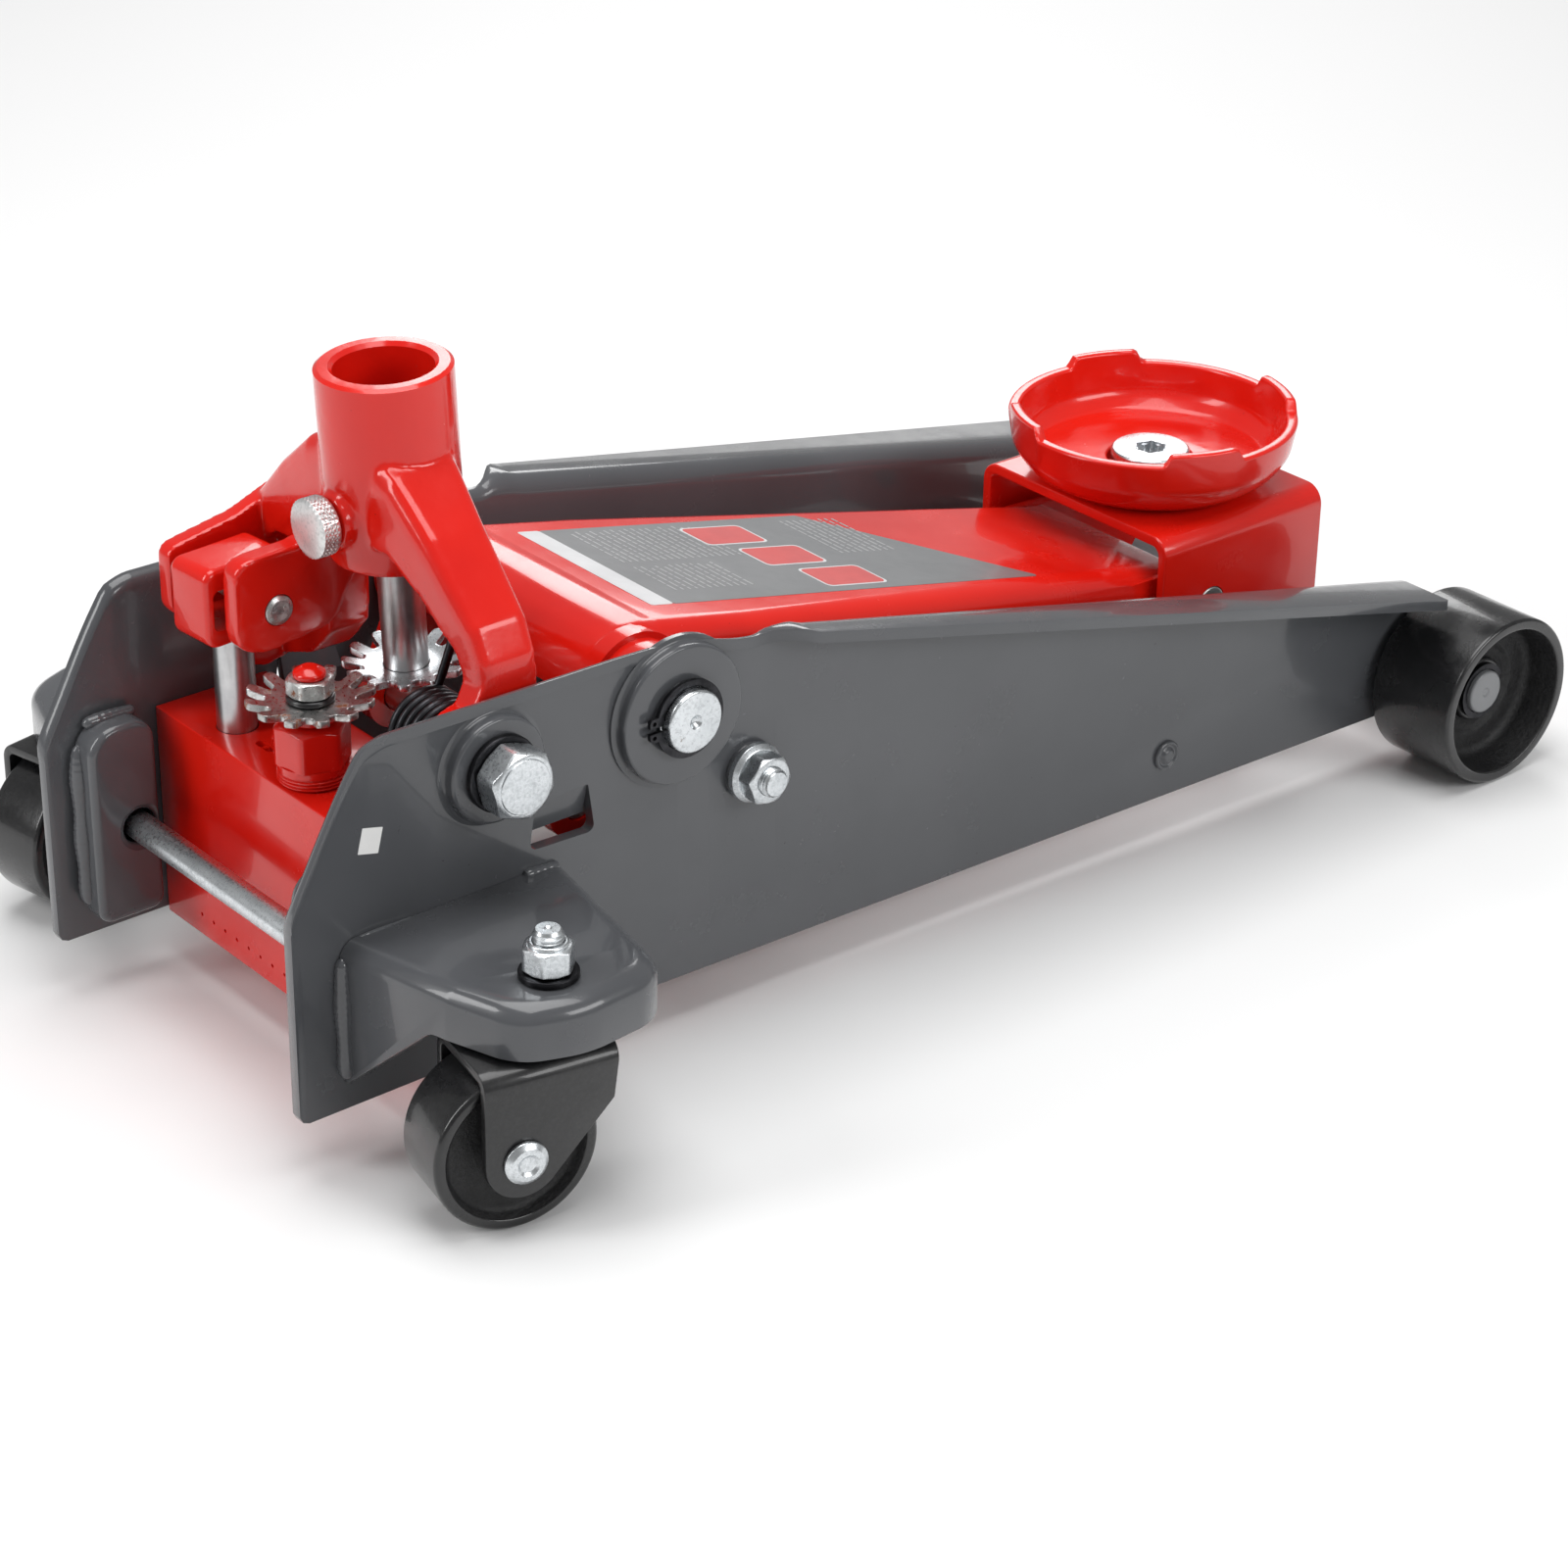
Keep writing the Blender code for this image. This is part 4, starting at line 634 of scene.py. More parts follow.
LOOKS = {  # material and slot name
    "red": (enamel("red_enamel", RED, RED_DEEP, 0.02), "red_paint"),
    "red_cast": (enamel("red_enamel_on_casting", RED, RED_DEEP, 0.035, 0.28), "red_paint"),
    "grey": (enamel("grey_enamel", GREY, GREY_DEEP, 0.02), "grey_paint"),
    "grey_weld": (enamel("grey_enamel_on_weld", GREY, GREY_DEEP, 0.02, 0.12, (0.1, 0.2)),
                  "grey_paint"),
    "black_gloss": (cast_black("black_dipped_iron", (0.16, 0.34), 0.05, 0.25), "black_paint"),
    "black_rough": (cast_black("black_pitted_iron", (0.42, 0.6), 0.5, 0.55), "black_paint"),
    "black_satin": (cast_black("black_satin_paint", (0.28, 0.4), 0.03, 0.12), "black_paint"),
    "black_steel": (bare_metal("black_oxide", (0.055, 0.055, 0.06), (0.02, 0.02, 0.022),
                               (0.3, 0.45), 0.01), "black_steel"),
    "zinc": (bare_metal("bright_zinc", WHITE_ZINC, DULL_ZINC, (0.24, 0.4), 0.004), "zinc"),
    "zinc_rusty": (bare_metal("zinc_with_rust", (0.68, 0.69, 0.69), (0.42, 0.42, 0.4),
                              (0.24, 0.5), 0.015, rust=0.55), "zinc"),
    "zinc_greasy": (bare_metal("zinc_with_grease", WHITE_ZINC, DULL_ZINC, (0.16, 0.36), 0.012,
                               grease=0.35), "zinc"),
    "polished": (bare_metal("polished_steel", (0.62, 0.62, 0.62), (0.46, 0.46, 0.47),
                            (0.28, 0.4), 0.004, (1.0, 1.0, 0.08)), "polished_steel"),
    "machined": (bare_metal("drawn_steel", (0.6, 0.6, 0.59), (0.34, 0.33, 0.32), (0.28, 0.5), 0.02,
                            (1.0, 0.05, 1.0), rust=0.12), "machined_steel"),
    "axle_paint": (enamel("axle_grey", (0.22, 0.225, 0.235), (0.18, 0.185, 0.19), 0.03,
                          gloss=(0.35, 0.5)), "machined_steel"),
    "aluminium": (bare_metal("turned_aluminium", (0.74, 0.74, 0.73), (0.66, 0.66, 0.66),
                             (0.36, 0.5), 0.006), "aluminium"),
    "label_panel": (printed("label_panel", (0.15, 0.155, 0.16), (0.13, 0.135, 0.14), 0.3),
                    "grey_paint"),
    "label_pale": (printed("label_pale", (0.68, 0.69, 0.7), (0.6, 0.61, 0.62), 0.3), "grey_paint"),
    "label_bar": (printed("label_bar", (0.36, 0.365, 0.37), (0.3, 0.305, 0.31), 0.3), "grey_paint"),
    "label_red": (printed("label_red", (0.6, 0.03, 0.025), (0.52, 0.02, 0.018), 0.3), "red_paint"),
    "sticker": (printed("blank_sticker", (0.8, 0.8, 0.79), (0.74, 0.74, 0.73), 0.35), "grey_paint"),
}


# ============================================================================================
# Side plates and what is fixed to them
# ============================================================================================
# x, bottom, top, flange overhang, inner bend radius
PLATE_STATIONS = [
    (0.0, 26.0, 109.5, 0.5, 0.3), (1.2, 23.4, 113.5, 0.5, 0.3), (4.0, 22.2, 118.6, 0.5, 0.3),
    (29.5, 22.2, 163.0, 0.5, 0.3), (35.0, 22.2, 169.8, 0.5, 0.3), (46.0, 22.2, 172.6, 0.5, 0.3),
    (150.0, 22.2, 171.3, 0.5, 0.3), (180.0, 22.2, 170.6, 0.5, 0.3), (186.0, 22.2, 169.4, 0.5, 0.3),
    (212.0, 22.2, 162.8, 0.5, 0.3), (217.0, 22.2, 162.4, 0.8, 0.4), (222.0, 22.2, 164.0, 3.0, 1.2),
    (229.0, 22.2, 165.2, 9.6, 4.0), (238.0, 22.2, 162.6, 13.2, 4.0),
    (FLANGE_FRONT_X, 22.2, 88.0, 28.5, 4.0), (577.4, 22.2, 79.0, 0.6, 0.3),
    (606.0, 22.2, 64.0, 0.6, 0.3), (614.0, 24.0, 57.0, 0.6, 0.3), (618.0, 28.0, 50.0, 0.6, 0.3),
]
WINDOW = [(108.0, 102.8, 3.0), (139.0, 101.6, 3.0), (136.0, 122.5, 1.0), (111.0, 122.5, 1.0)]
# centre, radius and height of the plate's bosses; the tall ones stand on a wider foot
PLATE_BOSSES = ((HANDLE_PIVOT, 21.5, 6.0), (ARM_PIVOT, 29.0, 5.0), (LINK_ANCHOR, 12.0, 1.5),
                (FRONT_AXLE, 17.0, 2.0))
TALL_BOSS = 4.0
PLATE_HOLES = ((HANDLE_PIVOT, 8.4), (ARM_PIVOT, ARM_SHAFT_RADIUS + GAP), (LINK_ANCHOR, 6.4),
               (FRONT_AXLE, 10.3))
LOUVRE_THICKNESS = 4.2
# rear x, front x, inner y, z of the flap bent inwards from the window's top edge
LOUVRE = [(111.0, 136.0, 85.3, 124.6), (111.0, 136.0, 85.2, 122.8), (110.8, 136.2, 84.5, 120.6),
          (110.4, 136.8, 82.6, 115.0), (110.0, 137.3, 80.7, 109.6), (109.8, 137.6, 80.0, 107.6)]


def refined(rows, spacing):
    """Extra rows on a smooth curve through a table's rows, the first column being the parameter."""
    def slope(k, column):
        if k in (0, len(rows) - 1):
            return 0.0
        before = (rows[k][column] - rows[k - 1][column]) / (rows[k][0] - rows[k - 1][0])
        after = (rows[k + 1][column] - rows[k][column]) / (rows[k + 1][0] - rows[k][0])
        return 2.0 * before * after / (before + after) if before * after > 0.0 else 0.0

    result = []
    for k in range(len(rows) - 1):
        span = rows[k + 1][0] - rows[k][0]
        parts = max(1, min(10, round(span / spacing))) if span < LONG_SPAN else 1
        for part in range(parts):
            t = part / parts
            row = [rows[k][0] + span * t]
            for column in range(1, len(rows[k])):
                row.append(rows[k][column] * (2 * t ** 3 - 3 * t ** 2 + 1)
                           + slope(k, column) * span * (t ** 3 - 2 * t ** 2 + t)
                           + rows[k + 1][column] * (3 * t ** 2 - 2 * t ** 3)
                           + slope(k + 1, column) * span * (t ** 3 - t ** 2))
            result.append(tuple(row))
    return result + [rows[-1]]


def plate_face_y(x):
    share = max(0.0, x - SPREAD_START_X) / (FLANGE_FRONT_X - SPREAD_START_X)
    return REAR_HALF_WIDTH + (FRONT_HALF_WIDTH - REAR_HALF_WIDTH) * share


def plate_section(x, bottom, top, overhang, bend):
    face = plate_face_y(x)
    centre = (face + bend, top - PLATE_THICKNESS - bend)
    section = [(face, bottom)]
    section += arc(centre, bend, 180.0, 90.0, 5)
    section += [(face + overhang, top - PLATE_THICKNESS), (face + overhang, top)]
    section += arc(centre, bend + PLATE_THICKNESS, 90.0, 180.0, 5)
    section += [(face - PLATE_THICKNESS, bottom)]
    return [(x, y, z) for y, z in section]


def side_plates():
    plate = loft([plate_section(*station) for station in refined(PLATE_STATIONS, 3.0)])
    soften(plate, 0.6, 2)
    for (x, z), radius, proud in PLATE_BOSSES:
        face = plate_face_y(x)
        sunk = face - 2.0
        foot = [(radius, sunk)]
        if proud > TALL_BOSS:
            foot = [(radius + 2.6, sunk), (radius + 2.6, face + 0.05), (radius, face + 0.7, 1.6)]
        crown = [(radius, face + proud, 1.4), (0.0, face + proud)]
        join(plate, lathe([(0.0, sunk)] + foot + crown, "Y", (x, z)))
    join(plate, lathe([(0.0, 97.0), (6.8, 97.0), (6.8, 101.0, 1.2), (5.6, 101.6, 0.8),
                       (4.4, 100.2, 1.0), (2.5, 102.2, 1.6), (0.0, 102.2)], "Y", PLUG_WELD))
    for at, radius in PLATE_HOLES:
        cut(plate, rod("Y", at, radius, 70.0, 130.0))
    cut(plate, prism(rounded(WINDOW), "Y", 70.0, 110.0))
    flap = []
    for rear, front, low, z in LOUVRE:
        high = low + LOUVRE_THICKNESS
        flap.append([(rear, low, z), (front, low, z), (front, high, z), (rear, high, z)])
    join(plate, loft(flap))
    pair(plate, "grey", "frame", "side_plate")


def bracket_outline(inset, inner_y):
    return rounded([(20.0 + inset, inner_y), (31.0 + inset, 142.0, 20.0),
                    (41.0 + inset, 172.0 - inset, 22.0), (66.0, 181.5 - inset, 40.0),
                    (107.0 - inset, 178.0 - inset, 22.0), (124.0 - inset, inner_y)], 9)


def tray_solid(inset, inner_y, bottom, top, corner):
    """The bracket's plan raised to a height, with its top edge rolled over."""
    rows = [(inset, bottom)]
    for step in range(9):
        angle = math.radians(90.0 * step / 8)
        rows.append((inset + corner * (1.0 - math.cos(angle)),
                     top - corner * (1.0 - math.sin(angle))))
    return loft([[(x, y, z) for x, y in bracket_outline(shrink, inner_y)] for shrink, z in rows])


def caster_brackets():
    plate_y = REAR_HALF_WIDTH + GAP
    top = BRACKET_TOP_Z
    tray = tray_solid(0.0, plate_y, 33.0, top, 8.0)
    hollow = tray_solid(BRACKET_WALL, plate_y - 12.0, 0.0, top - BRACKET_WALL, 3.0)
    below = rounded([(60.0, 34.5), (92.0, 34.5, 2.0), (134.0, 73.0, 9.0), (220.0, 73.0),
                     (220.0, 0.0), (60.0, 0.0)])
    cut(tray, hollow, prism(below, "X", -20.0, 160.0), rod("Z", CASTER_AT, 6.4, 60.0, 110.0))
    soften(tray, 0.7, 2, 50.0)
    pair(tray, "grey", "frame", "caster_bracket")
    weld_pairs("bracket_weld", [
        ((20.6, plate_y + 1.0, 36.0), (20.6, plate_y + 1.0, 88.0), 3.8),
        ((27.0, plate_y + 0.5, top - 1.2), (55.0, plate_y + 0.5, top - 1.2), 1.5),
        ((104.0, plate_y + 0.6, top - 0.6), (121.0, plate_y + 0.6, top - 1.2), 2.4),
        ((122.6, plate_y + 1.0, 38.0), (122.6, plate_y + 1.0, 86.0), 3.2)], 0)


def rear_gussets():
    outer_y = REAR_HALF_WIDTH - PLATE_THICKNESS - GAP
    outline = box((12.0, 32.0), (42.0, 118.0), (6.0, 6.0, 10.0, 13.0), 8)
    shell = prism(outline, "Y", 70.0, outer_y)
    soften(shell, 3.0, 5, 50.0)
    hollow = prism([(16.0, 36.0), (38.0, 36.0), (38.0, 113.0), (16.0, 111.0)], "Y", 74.0, 95.0)
    dish = lathe([(0.0, 60.0), (10.6, 60.0), (10.6, 69.9, 2.0), (7.4, 71.4, 2.0), (7.4, 95.0),
                  (0.0, 95.0)], "Y", TIE_ROD)
    cut(shell, hollow, dish)
    pair(shell, "grey", "frame", "rear_gusset")
    weld_pairs("gusset_weld", [((12.4, 80.6, 38.0), (12.4, 80.6, 110.0), 3.9),
                               ((16.0, 81.6, 117.4), (40.0, 81.6, 117.4), 2.8)], 20)


def cross_members():
    reach = REAR_HALF_WIDTH - PLATE_THICKNESS - GAP
    piece(rod("Y", TIE_ROD, 6.0, -reach, reach, 0.8), "zinc", "frame", "rear_tie_rod")
    end = 141.0
    half = [(10.0, end, 1.2), (2.4, end, 0.3), (1.4, end - 0.5, 0.3), (0.0, end - 0.5, 0.0)]
    piece(lathe(both_ways(half), "Y", FRONT_AXLE), "axle_paint", "frame", "front_axle")
    clip_outline = arc(FRONT_AXLE, 13.0, 25.0, 335.0, 40) + arc(FRONT_AXLE, 10.4, 335.0, 25.0, 40)
    pair(prism(clip_outline, "Y", 137.4, 139.0), "black_steel", "frame", "axle_clip")


# inner end and turn of the head; the right bolt is longer, as the handle spring is wound on it
HANDLE_BOLTS = {"left": (72.6, 34.0), "right": (38.0, 12.0)}


def arm_shaft():
    """The arm's shaft, with a snap ring in a groove at each end."""
    end = 103.5
    groove_radius = ARM_SHAFT_RADIUS - 0.5
    half = [(ARM_SHAFT_RADIUS, 97.6, 0.0), (groove_radius, 97.8, 0.0), (groove_radius, 100.0, 0.0),
            (ARM_SHAFT_RADIUS, 100.2, 0.0), (ARM_SHAFT_RADIUS, end, 1.2), (3.0, end, 0.5),
            (1.6, end - 1.4, 0.0), (0.0, end - 2.2, 0.0)]
    piece(lathe(both_ways(half), "Y", ARM_PIVOT, 4), "zinc_greasy", "frame", "arm_pivot_shaft")

    x, z = ARM_PIVOT
    low, high = 98.0, 99.8
    ring = prism(circle(ARM_PIVOT, 16.2), "Y", low, high)
    ears = box((x - 19.5, z - 5.0), (x - 10.0, z + 5.0), (2.0, 0.0, 0.0, 2.0))
    join(ring, prism(ears, "Y", low, high))
    cut(ring,
        rod("Y", ARM_PIVOT, ARM_SHAFT_RADIUS + GAP, 80.0, 120.0),
        prism(box((150.0, z - 1.2), (170.0, z + 1.2)), "Y", 80.0, 120.0),
        rod("Y", (x - 17.3, z + 3.0), 0.9, 80.0, 120.0, sides=20),
        rod("Y", (x - 17.3, z - 3.0), 0.9, 80.0, 120.0, sides=20))
    soften(ring, 0.25, 2, 50.0)
    pair(ring, "black_steel", "frame", "arm_snap_ring")


def handle_bolt(side):
    inner_end, turn_deg = HANDLE_BOLTS[side]
    bolt = hexagon("Y", HANDLE_PIVOT, 26.0, 99.6, 112.0, turn_deg)
    washer_face = [(0.0, 111.0), (11.2, 111.0), (11.2, 112.5, 0.5), (0.0, 112.5)]
    shank = [(0.0, inner_end), (7.2, inner_end)]
    shank += thread(8.0, 0.8, 1.75, inner_end + 0.8, inner_end + 16.0)
    shank += [(8.0, inner_end + 17.0), (8.0, 101.0), (0.0, 101.0)]
    return join(bolt, lathe(washer_face, "Y", HANDLE_PIVOT), turned(shank, "Y", HANDLE_PIVOT))


def link_stud():
    """The stud that a levelling link swings on; its collar bears on the inside of the plate."""
    collar_end = plate_face_y(LINK_ANCHOR[0]) - PLATE_THICKNESS - 0.8
    profile = rounded([(0.0, 66.9), (9.5, 66.9, 0.6), (9.5, 69.6, 0.6), (6.2, 69.6), (6.2, 77.4),
                       (10.0, 77.4, 0.6), (10.0, collar_end, 0.4), (6.0, collar_end), (6.0, 93.0)])
    profile += thread(6.0, 0.7, 1.5, 94.0, 108.4) + [(5.0, 109.0), (0.0, 109.0)]
    return turned(profile, "Y", LINK_ANCHOR)


def link_nut():
    nut = hexagon("Y", LINK_ANCHOR, 19.0, 96.5, 105.5, 20.0)
    flange = [(0.0, 94.0), (12.5, 94.0, 0.4), (12.5, 96.4, 0.6), (10.6, 98.2, 1.0), (0.0, 98.2)]
    join(nut, lathe(flange, "Y", LINK_ANCHOR))
    return cut(nut, rod("Y", LINK_ANCHOR, 6.25, 80.0, 120.0))


def plate_hardware():
    """The bolts, studs and nuts that stand out of the plates, made on the left, then mirrored."""
    washer = [(8.3, 96.3, 0.2), (15.5, 96.3, 0.4), (15.5, 99.3, 0.6), (8.3, 99.3, 0.2)]
    for side, sign in SIDES:
        shapes = ((handle_bolt(side), "zinc", "handle_bolt_"),
                  (lathe(washer, "Y", HANDLE_PIVOT, 3), "black_steel", "handle_washer_"),
                  (link_stud(), "zinc", "link_anchor_"), (link_nut(), "zinc", "link_nut_"))
        for shape, look, stem in shapes:
            if sign < 0.0:
                original = shape
                shape = mirrored(original)
                bpy.data.objects.remove(original)
            piece(shape, look, "frame", stem + side)


# ============================================================================================
# Pump block, ram and release valve
# ============================================================================================
def pump_block():
    outline = box((BLOCK_REAR_X, BLOCK_BOTTOM_Z), (BLOCK_FRONT_X, BLOCK_TOP_Z),
                  (1.0, 1.5, 4.0, 0.6))
    block = prism(outline, "Y", -BLOCK_HALF_WIDTH, BLOCK_HALF_WIDTH)
    soften(block, 0.5, 2, 50.0)
    cut(block,
        rod("X", (0.0, RAM_Z), CYLINDER_RADIUS + GAP, 61.0, 130.0),
        rod("Z", PLUNGER_AT, PLUNGER_RADIUS + GAP, 54.0, 130.0),
        rod("Z", FILLER_AT, 4.3, 104.0, 130.0))
    for dot in range(PUNCHED_DOTS):
        place = (58.0 - 8.6 * dot, 30.0 - 0.12 * dot)
        cut(block, rod("X", place, 0.85, 45.0, BLOCK_REAR_X + 0.7, sides=10))
    notch = box((64.0, 21.5), (68.0, 32.5), 2.0, 6)
    cut(block, prism(notch, "Z", BLOCK_TOP_Z - 2.5, BLOCK_TOP_Z + 5.0))
    join(block, rod("Z", (66.0, 27.0), 1.1, BLOCK_TOP_Z - 4.0, BLOCK_TOP_Z - 0.3))
    piece(block, "red", "frame", "pump_block")


def ram():
    """The cylinder and the ram, whose yoke takes the crank pin of the arm in a slot."""
    front = CRANK_PIN[0] - 13.0
    liner = [(RAM_RADIUS + GAP, 61.5), (CYLINDER_RADIUS, 61.5), (CYLINDER_RADIUS, front, 2.0),
             (RAM_RADIUS + GAP, front, 1.0)]
    piece(lathe(liner, "X", (0.0, RAM_Z)), "machined", "frame", "ram_cylinder")

    x, z = CRANK_PIN[0], YOKE_Z
    plunger = rod("X", (0.0, RAM_Z), RAM_RADIUS, 62.5, x - 6.0, 0.8)
    yoke = prism(box((x - 11.8, z - 24.0), (x + 12.0, z + 19.0), 3.0), "Y", -17.0, 17.0)
    soften(yoke, 1.2, 3, 50.0)
    join(plunger, yoke)
    half = CRANK_PIN_RADIUS + 1.2
    cut(plunger, prism(box((x - half, z - 13.6), (x + half, z + 13.6), half, 12), "Y", -30.0, 30.0))
    piece(plunger, "polished", "ram", "ram_rod")


def filler_plug():
    x, y = FILLER_AT
    under = BLOCK_TOP_Z + GAP
    plug = lathe([(0.0, 105.0), (4.0, 105.0, 0.4), (4.0, under), (6.0, under), (6.0, 117.8, 1.0),
                  (0.0, 117.8)], "Z", FILLER_AT)
    cut(plug, prism(box((x - 8.0, y - 0.8), (x + 8.0, y + 0.8)), "Z", 116.2, 125.0))
    piece(plug, "red", "frame", "filler_plug")


def star_gear(centre, base_z, bore, phase_deg):
    """A stamped star wheel: rounded fingers, dished upwards towards their tips."""
    pitch = 360.0 / GEAR_TEETH
    corners = []
    for tooth in range(GEAR_TEETH):
        middle = phase_deg + pitch * tooth
        for offset, radius, fillet in ((-9.0, GEAR_ROOT_RADIUS, 1.6), (-5.6, GEAR_TIP_RADIUS, 1.7),
                                       (5.6, GEAR_TIP_RADIUS, 1.7), (9.0, GEAR_ROOT_RADIUS, 1.6)):
            angle = math.radians(middle + offset)
            corners.append((radius * math.cos(angle), radius * math.sin(angle), fillet))
    outline = rounded(corners, 4)
    thickness = 3.0
    edge = 0.5

    def row(share, inset, height):
        points = []
        for u, v in outline:
            reach = math.hypot(u, v)
            radius = bore + (reach - inset - bore) * share
            lift = 3.0 * max(0.0, (radius - 12.0) / (GEAR_TIP_RADIUS - 12.0)) ** 1.6
            points.append((centre[0] + u / reach * radius, centre[1] + v / reach * radius,
                           base_z + lift + height))
        return points

    shares = [i / 12.0 for i in range(13)]
    under = [row(share, edge, 0.0) for share in shares]
    rim = [row(1.0, 0.15, 0.15), row(1.0, 0.0, edge), row(1.0, 0.0, thickness - edge),
           row(1.0, 0.15, thickness - 0.15)]
    over = [row(share, edge, thickness) for share in reversed(shares)]
    return loft(under + rim + over, closed=True)


def release_valve():
    top = BLOCK_TOP_Z + GAP
    collar = turned([(0.0, top), (13.4, top)] + thread(14.4, 0.8, 1.5, top + 0.4, 118.9)
                    + rounded([(13.5, 119.3), (14.2, 119.5, 0.3), (14.2, 122.5), (0.0, 122.5)], 3),
                    "Z", VALVE_AT)
    join(collar, hexagon("Z", VALVE_AT, 27.0, 121.0, 139.0, 10.0))
    cut(collar, rod("Z", VALVE_AT, 6.2, 114.0, 150.0))
    piece(collar, "red_cast", "frame", "valve_collar")
    facing = math.degrees(math.atan2(-VALVE_AT[1], socket_axis_x(RELEASE_GEAR_Z) - VALVE_AT[0]))
    piece(star_gear(VALVE_AT, VALVE_GEAR_Z, 6.2, facing), "zinc_rusty", "valve", "valve_gear",
          sharp_deg=50.0)
    spindle = lathe([(0.0, 115.0), (5.8, 115.0, 0.5), (5.8, 140.0), (10.5, 140.0, 0.8),
                     (10.5, VALVE_GEAR_Z - GAP, 0.4), (5.8, VALVE_GEAR_Z - GAP), (5.8, 157.9),
                     (6.5, 157.9, 0.5), (6.5, 159.8, 1.6), (3.0, 162.0, 3.0), (0.0, 162.0)], "Z",
                    VALVE_AT)
    piece(spindle, "red_cast", "valve", "valve_spindle")
    nut = hexagon("Z", VALVE_AT, 17.0, VALVE_GEAR_Z + 5.8, VALVE_GEAR_Z + 13.0, 5.0)
    cut(nut, rod("Z", VALVE_AT, 6.2, 120.0, 180.0))
    piece(nut, "zinc_rusty", "valve", "valve_nut")
    seat_z = VALVE_GEAR_Z + 3.3
    washer = lathe([(6.3, seat_z, 0.2), (9.6, seat_z, 1.0), (9.6, seat_z + 2.4, 1.0),
                    (6.3, seat_z + 2.4, 0.2)], "Z", VALVE_AT, 4)
    piece(washer, "black_satin", "valve", name="valve_lock_ring")


def pump_plunger():
    rod_part = rod("Z", PLUNGER_AT, PLUNGER_RADIUS, 88.0, 157.0, 1.0)
    piece(rod_part, "polished", "plunger", "pump_plunger")
    head = prism(box((46.2, 157.3), (86.0, 190.5), (6.0, 5.0, 5.0, 5.0), 8), "Y", 36.0, 59.5)
    soften(head, 2.6, 5, 50.0)
    half = PLUNGER_PIN_RADIUS + 2.4
    pin_z = PLUNGER_PIN[1]
    slot = box((49.4, pin_z - half), (81.0, pin_z + half), (3.0, 5.0, 5.0, 3.0), 8)
    cut(head, prism(slot, "Y", 20.0, 75.0))
    turn_about(head, (*PLUNGER_AT, 0.0), "Z", math.radians(5.0))
    piece(head, "red_cast", "plunger", "plunger_head")


# ============================================================================================
# Handle socket
# ============================================================================================
LEG_SECTIONS = [                      # rear x, front x, outer (y, z), inner (y, z)
    (90.0, 129.0, (8.0, 247.0), (8.0, 208.0)), (90.5, 125.0, (28.0, 239.0), (26.0, 207.0)),
    (91.5, 121.5, (50.0, 221.0), (43.0, 198.0)), (93.0, 120.0, (76.5, 194.5), (65.0, 181.0)),
    (93.5, 120.0, (82.4, 181.0), (68.7, 174.0)), (94.0, 120.0, (82.4, 163.0), (68.7, 163.0)),
]
NEAR_CHEEK = [(113.3, 214.7), (105.0, 206.0, 10.0), (84.0, 198.0, 20.0), (53.0, 196.5, 7.0),
              (53.0, 160.0, 9.0), (66.0, 156.5, 8.0), (98.0, 160.0, 14.0), (113.3, 190.0)]
FAR_CHEEK = [(113.0, 210.0), (104.0, 204.5, 10.0), (82.0, 196.0, 24.0), (49.0, 190.0, 6.0),
             (49.0, 162.0, 8.0), (62.0, 156.5, 8.0), (96.0, 160.0, 14.0), (113.0, 184.0)]
# (y, z) of the wall that closes the fork towards the arm
FRONT_WEB = [(24.0, 206.0), (28.0, 154.0, 8.0), (42.0, 139.0, 12.0), (66.0, 130.0, 4.0),
             (69.0, 190.0), (44.0, 206.0)]
FAR_WALL = [(68.0, 166.0), (71.0, 146.0, 5.0), (79.0, 131.5, 8.0), (92.0, 126.8, 8.0),
            (111.0, 131.0, 8.0), (118.5, 150.0, 6.0), (118.5, 186.0), (92.0, 196.0)]
SOCKET_NECK = [(95.5, 175.0), (119.2, 175.0), (119.2, 167.0), (108.0, 150.0), (90.6, 146.0),
               (88.5, 162.0)]
SOCKET_BRIDGE = [(92.7, 189.0), (117.0, 191.0), (117.0, 211.0), (97.0, 211.0), (92.7, 205.0)]
BORE_FLOOR_Z = 206.0


def socket_axis_x(z):
    return SOCKET_TOP[0] + (SOCKET_TOP[1] - z) * math.tan(SOCKET_LEAN)


def lean(obj):
    return turn_about(obj, (SOCKET_TOP[0], 0.0, SOCKET_TOP[1]), "Y", -SOCKET_LEAN)


def leg_section(sign, rear, front, outer, inner):
    deep = 5.0
    corners = rounded([(rear, 0.0, deep), (front, 0.0, deep), (front, 14.0), (rear, 14.0)], 4)
    return [(x, sign * (outer[0] + (inner[0] - outer[0]) * v / 14.0),
             outer[1] + (inner[1] - outer[1]) * v / 14.0) for x, v in corners]


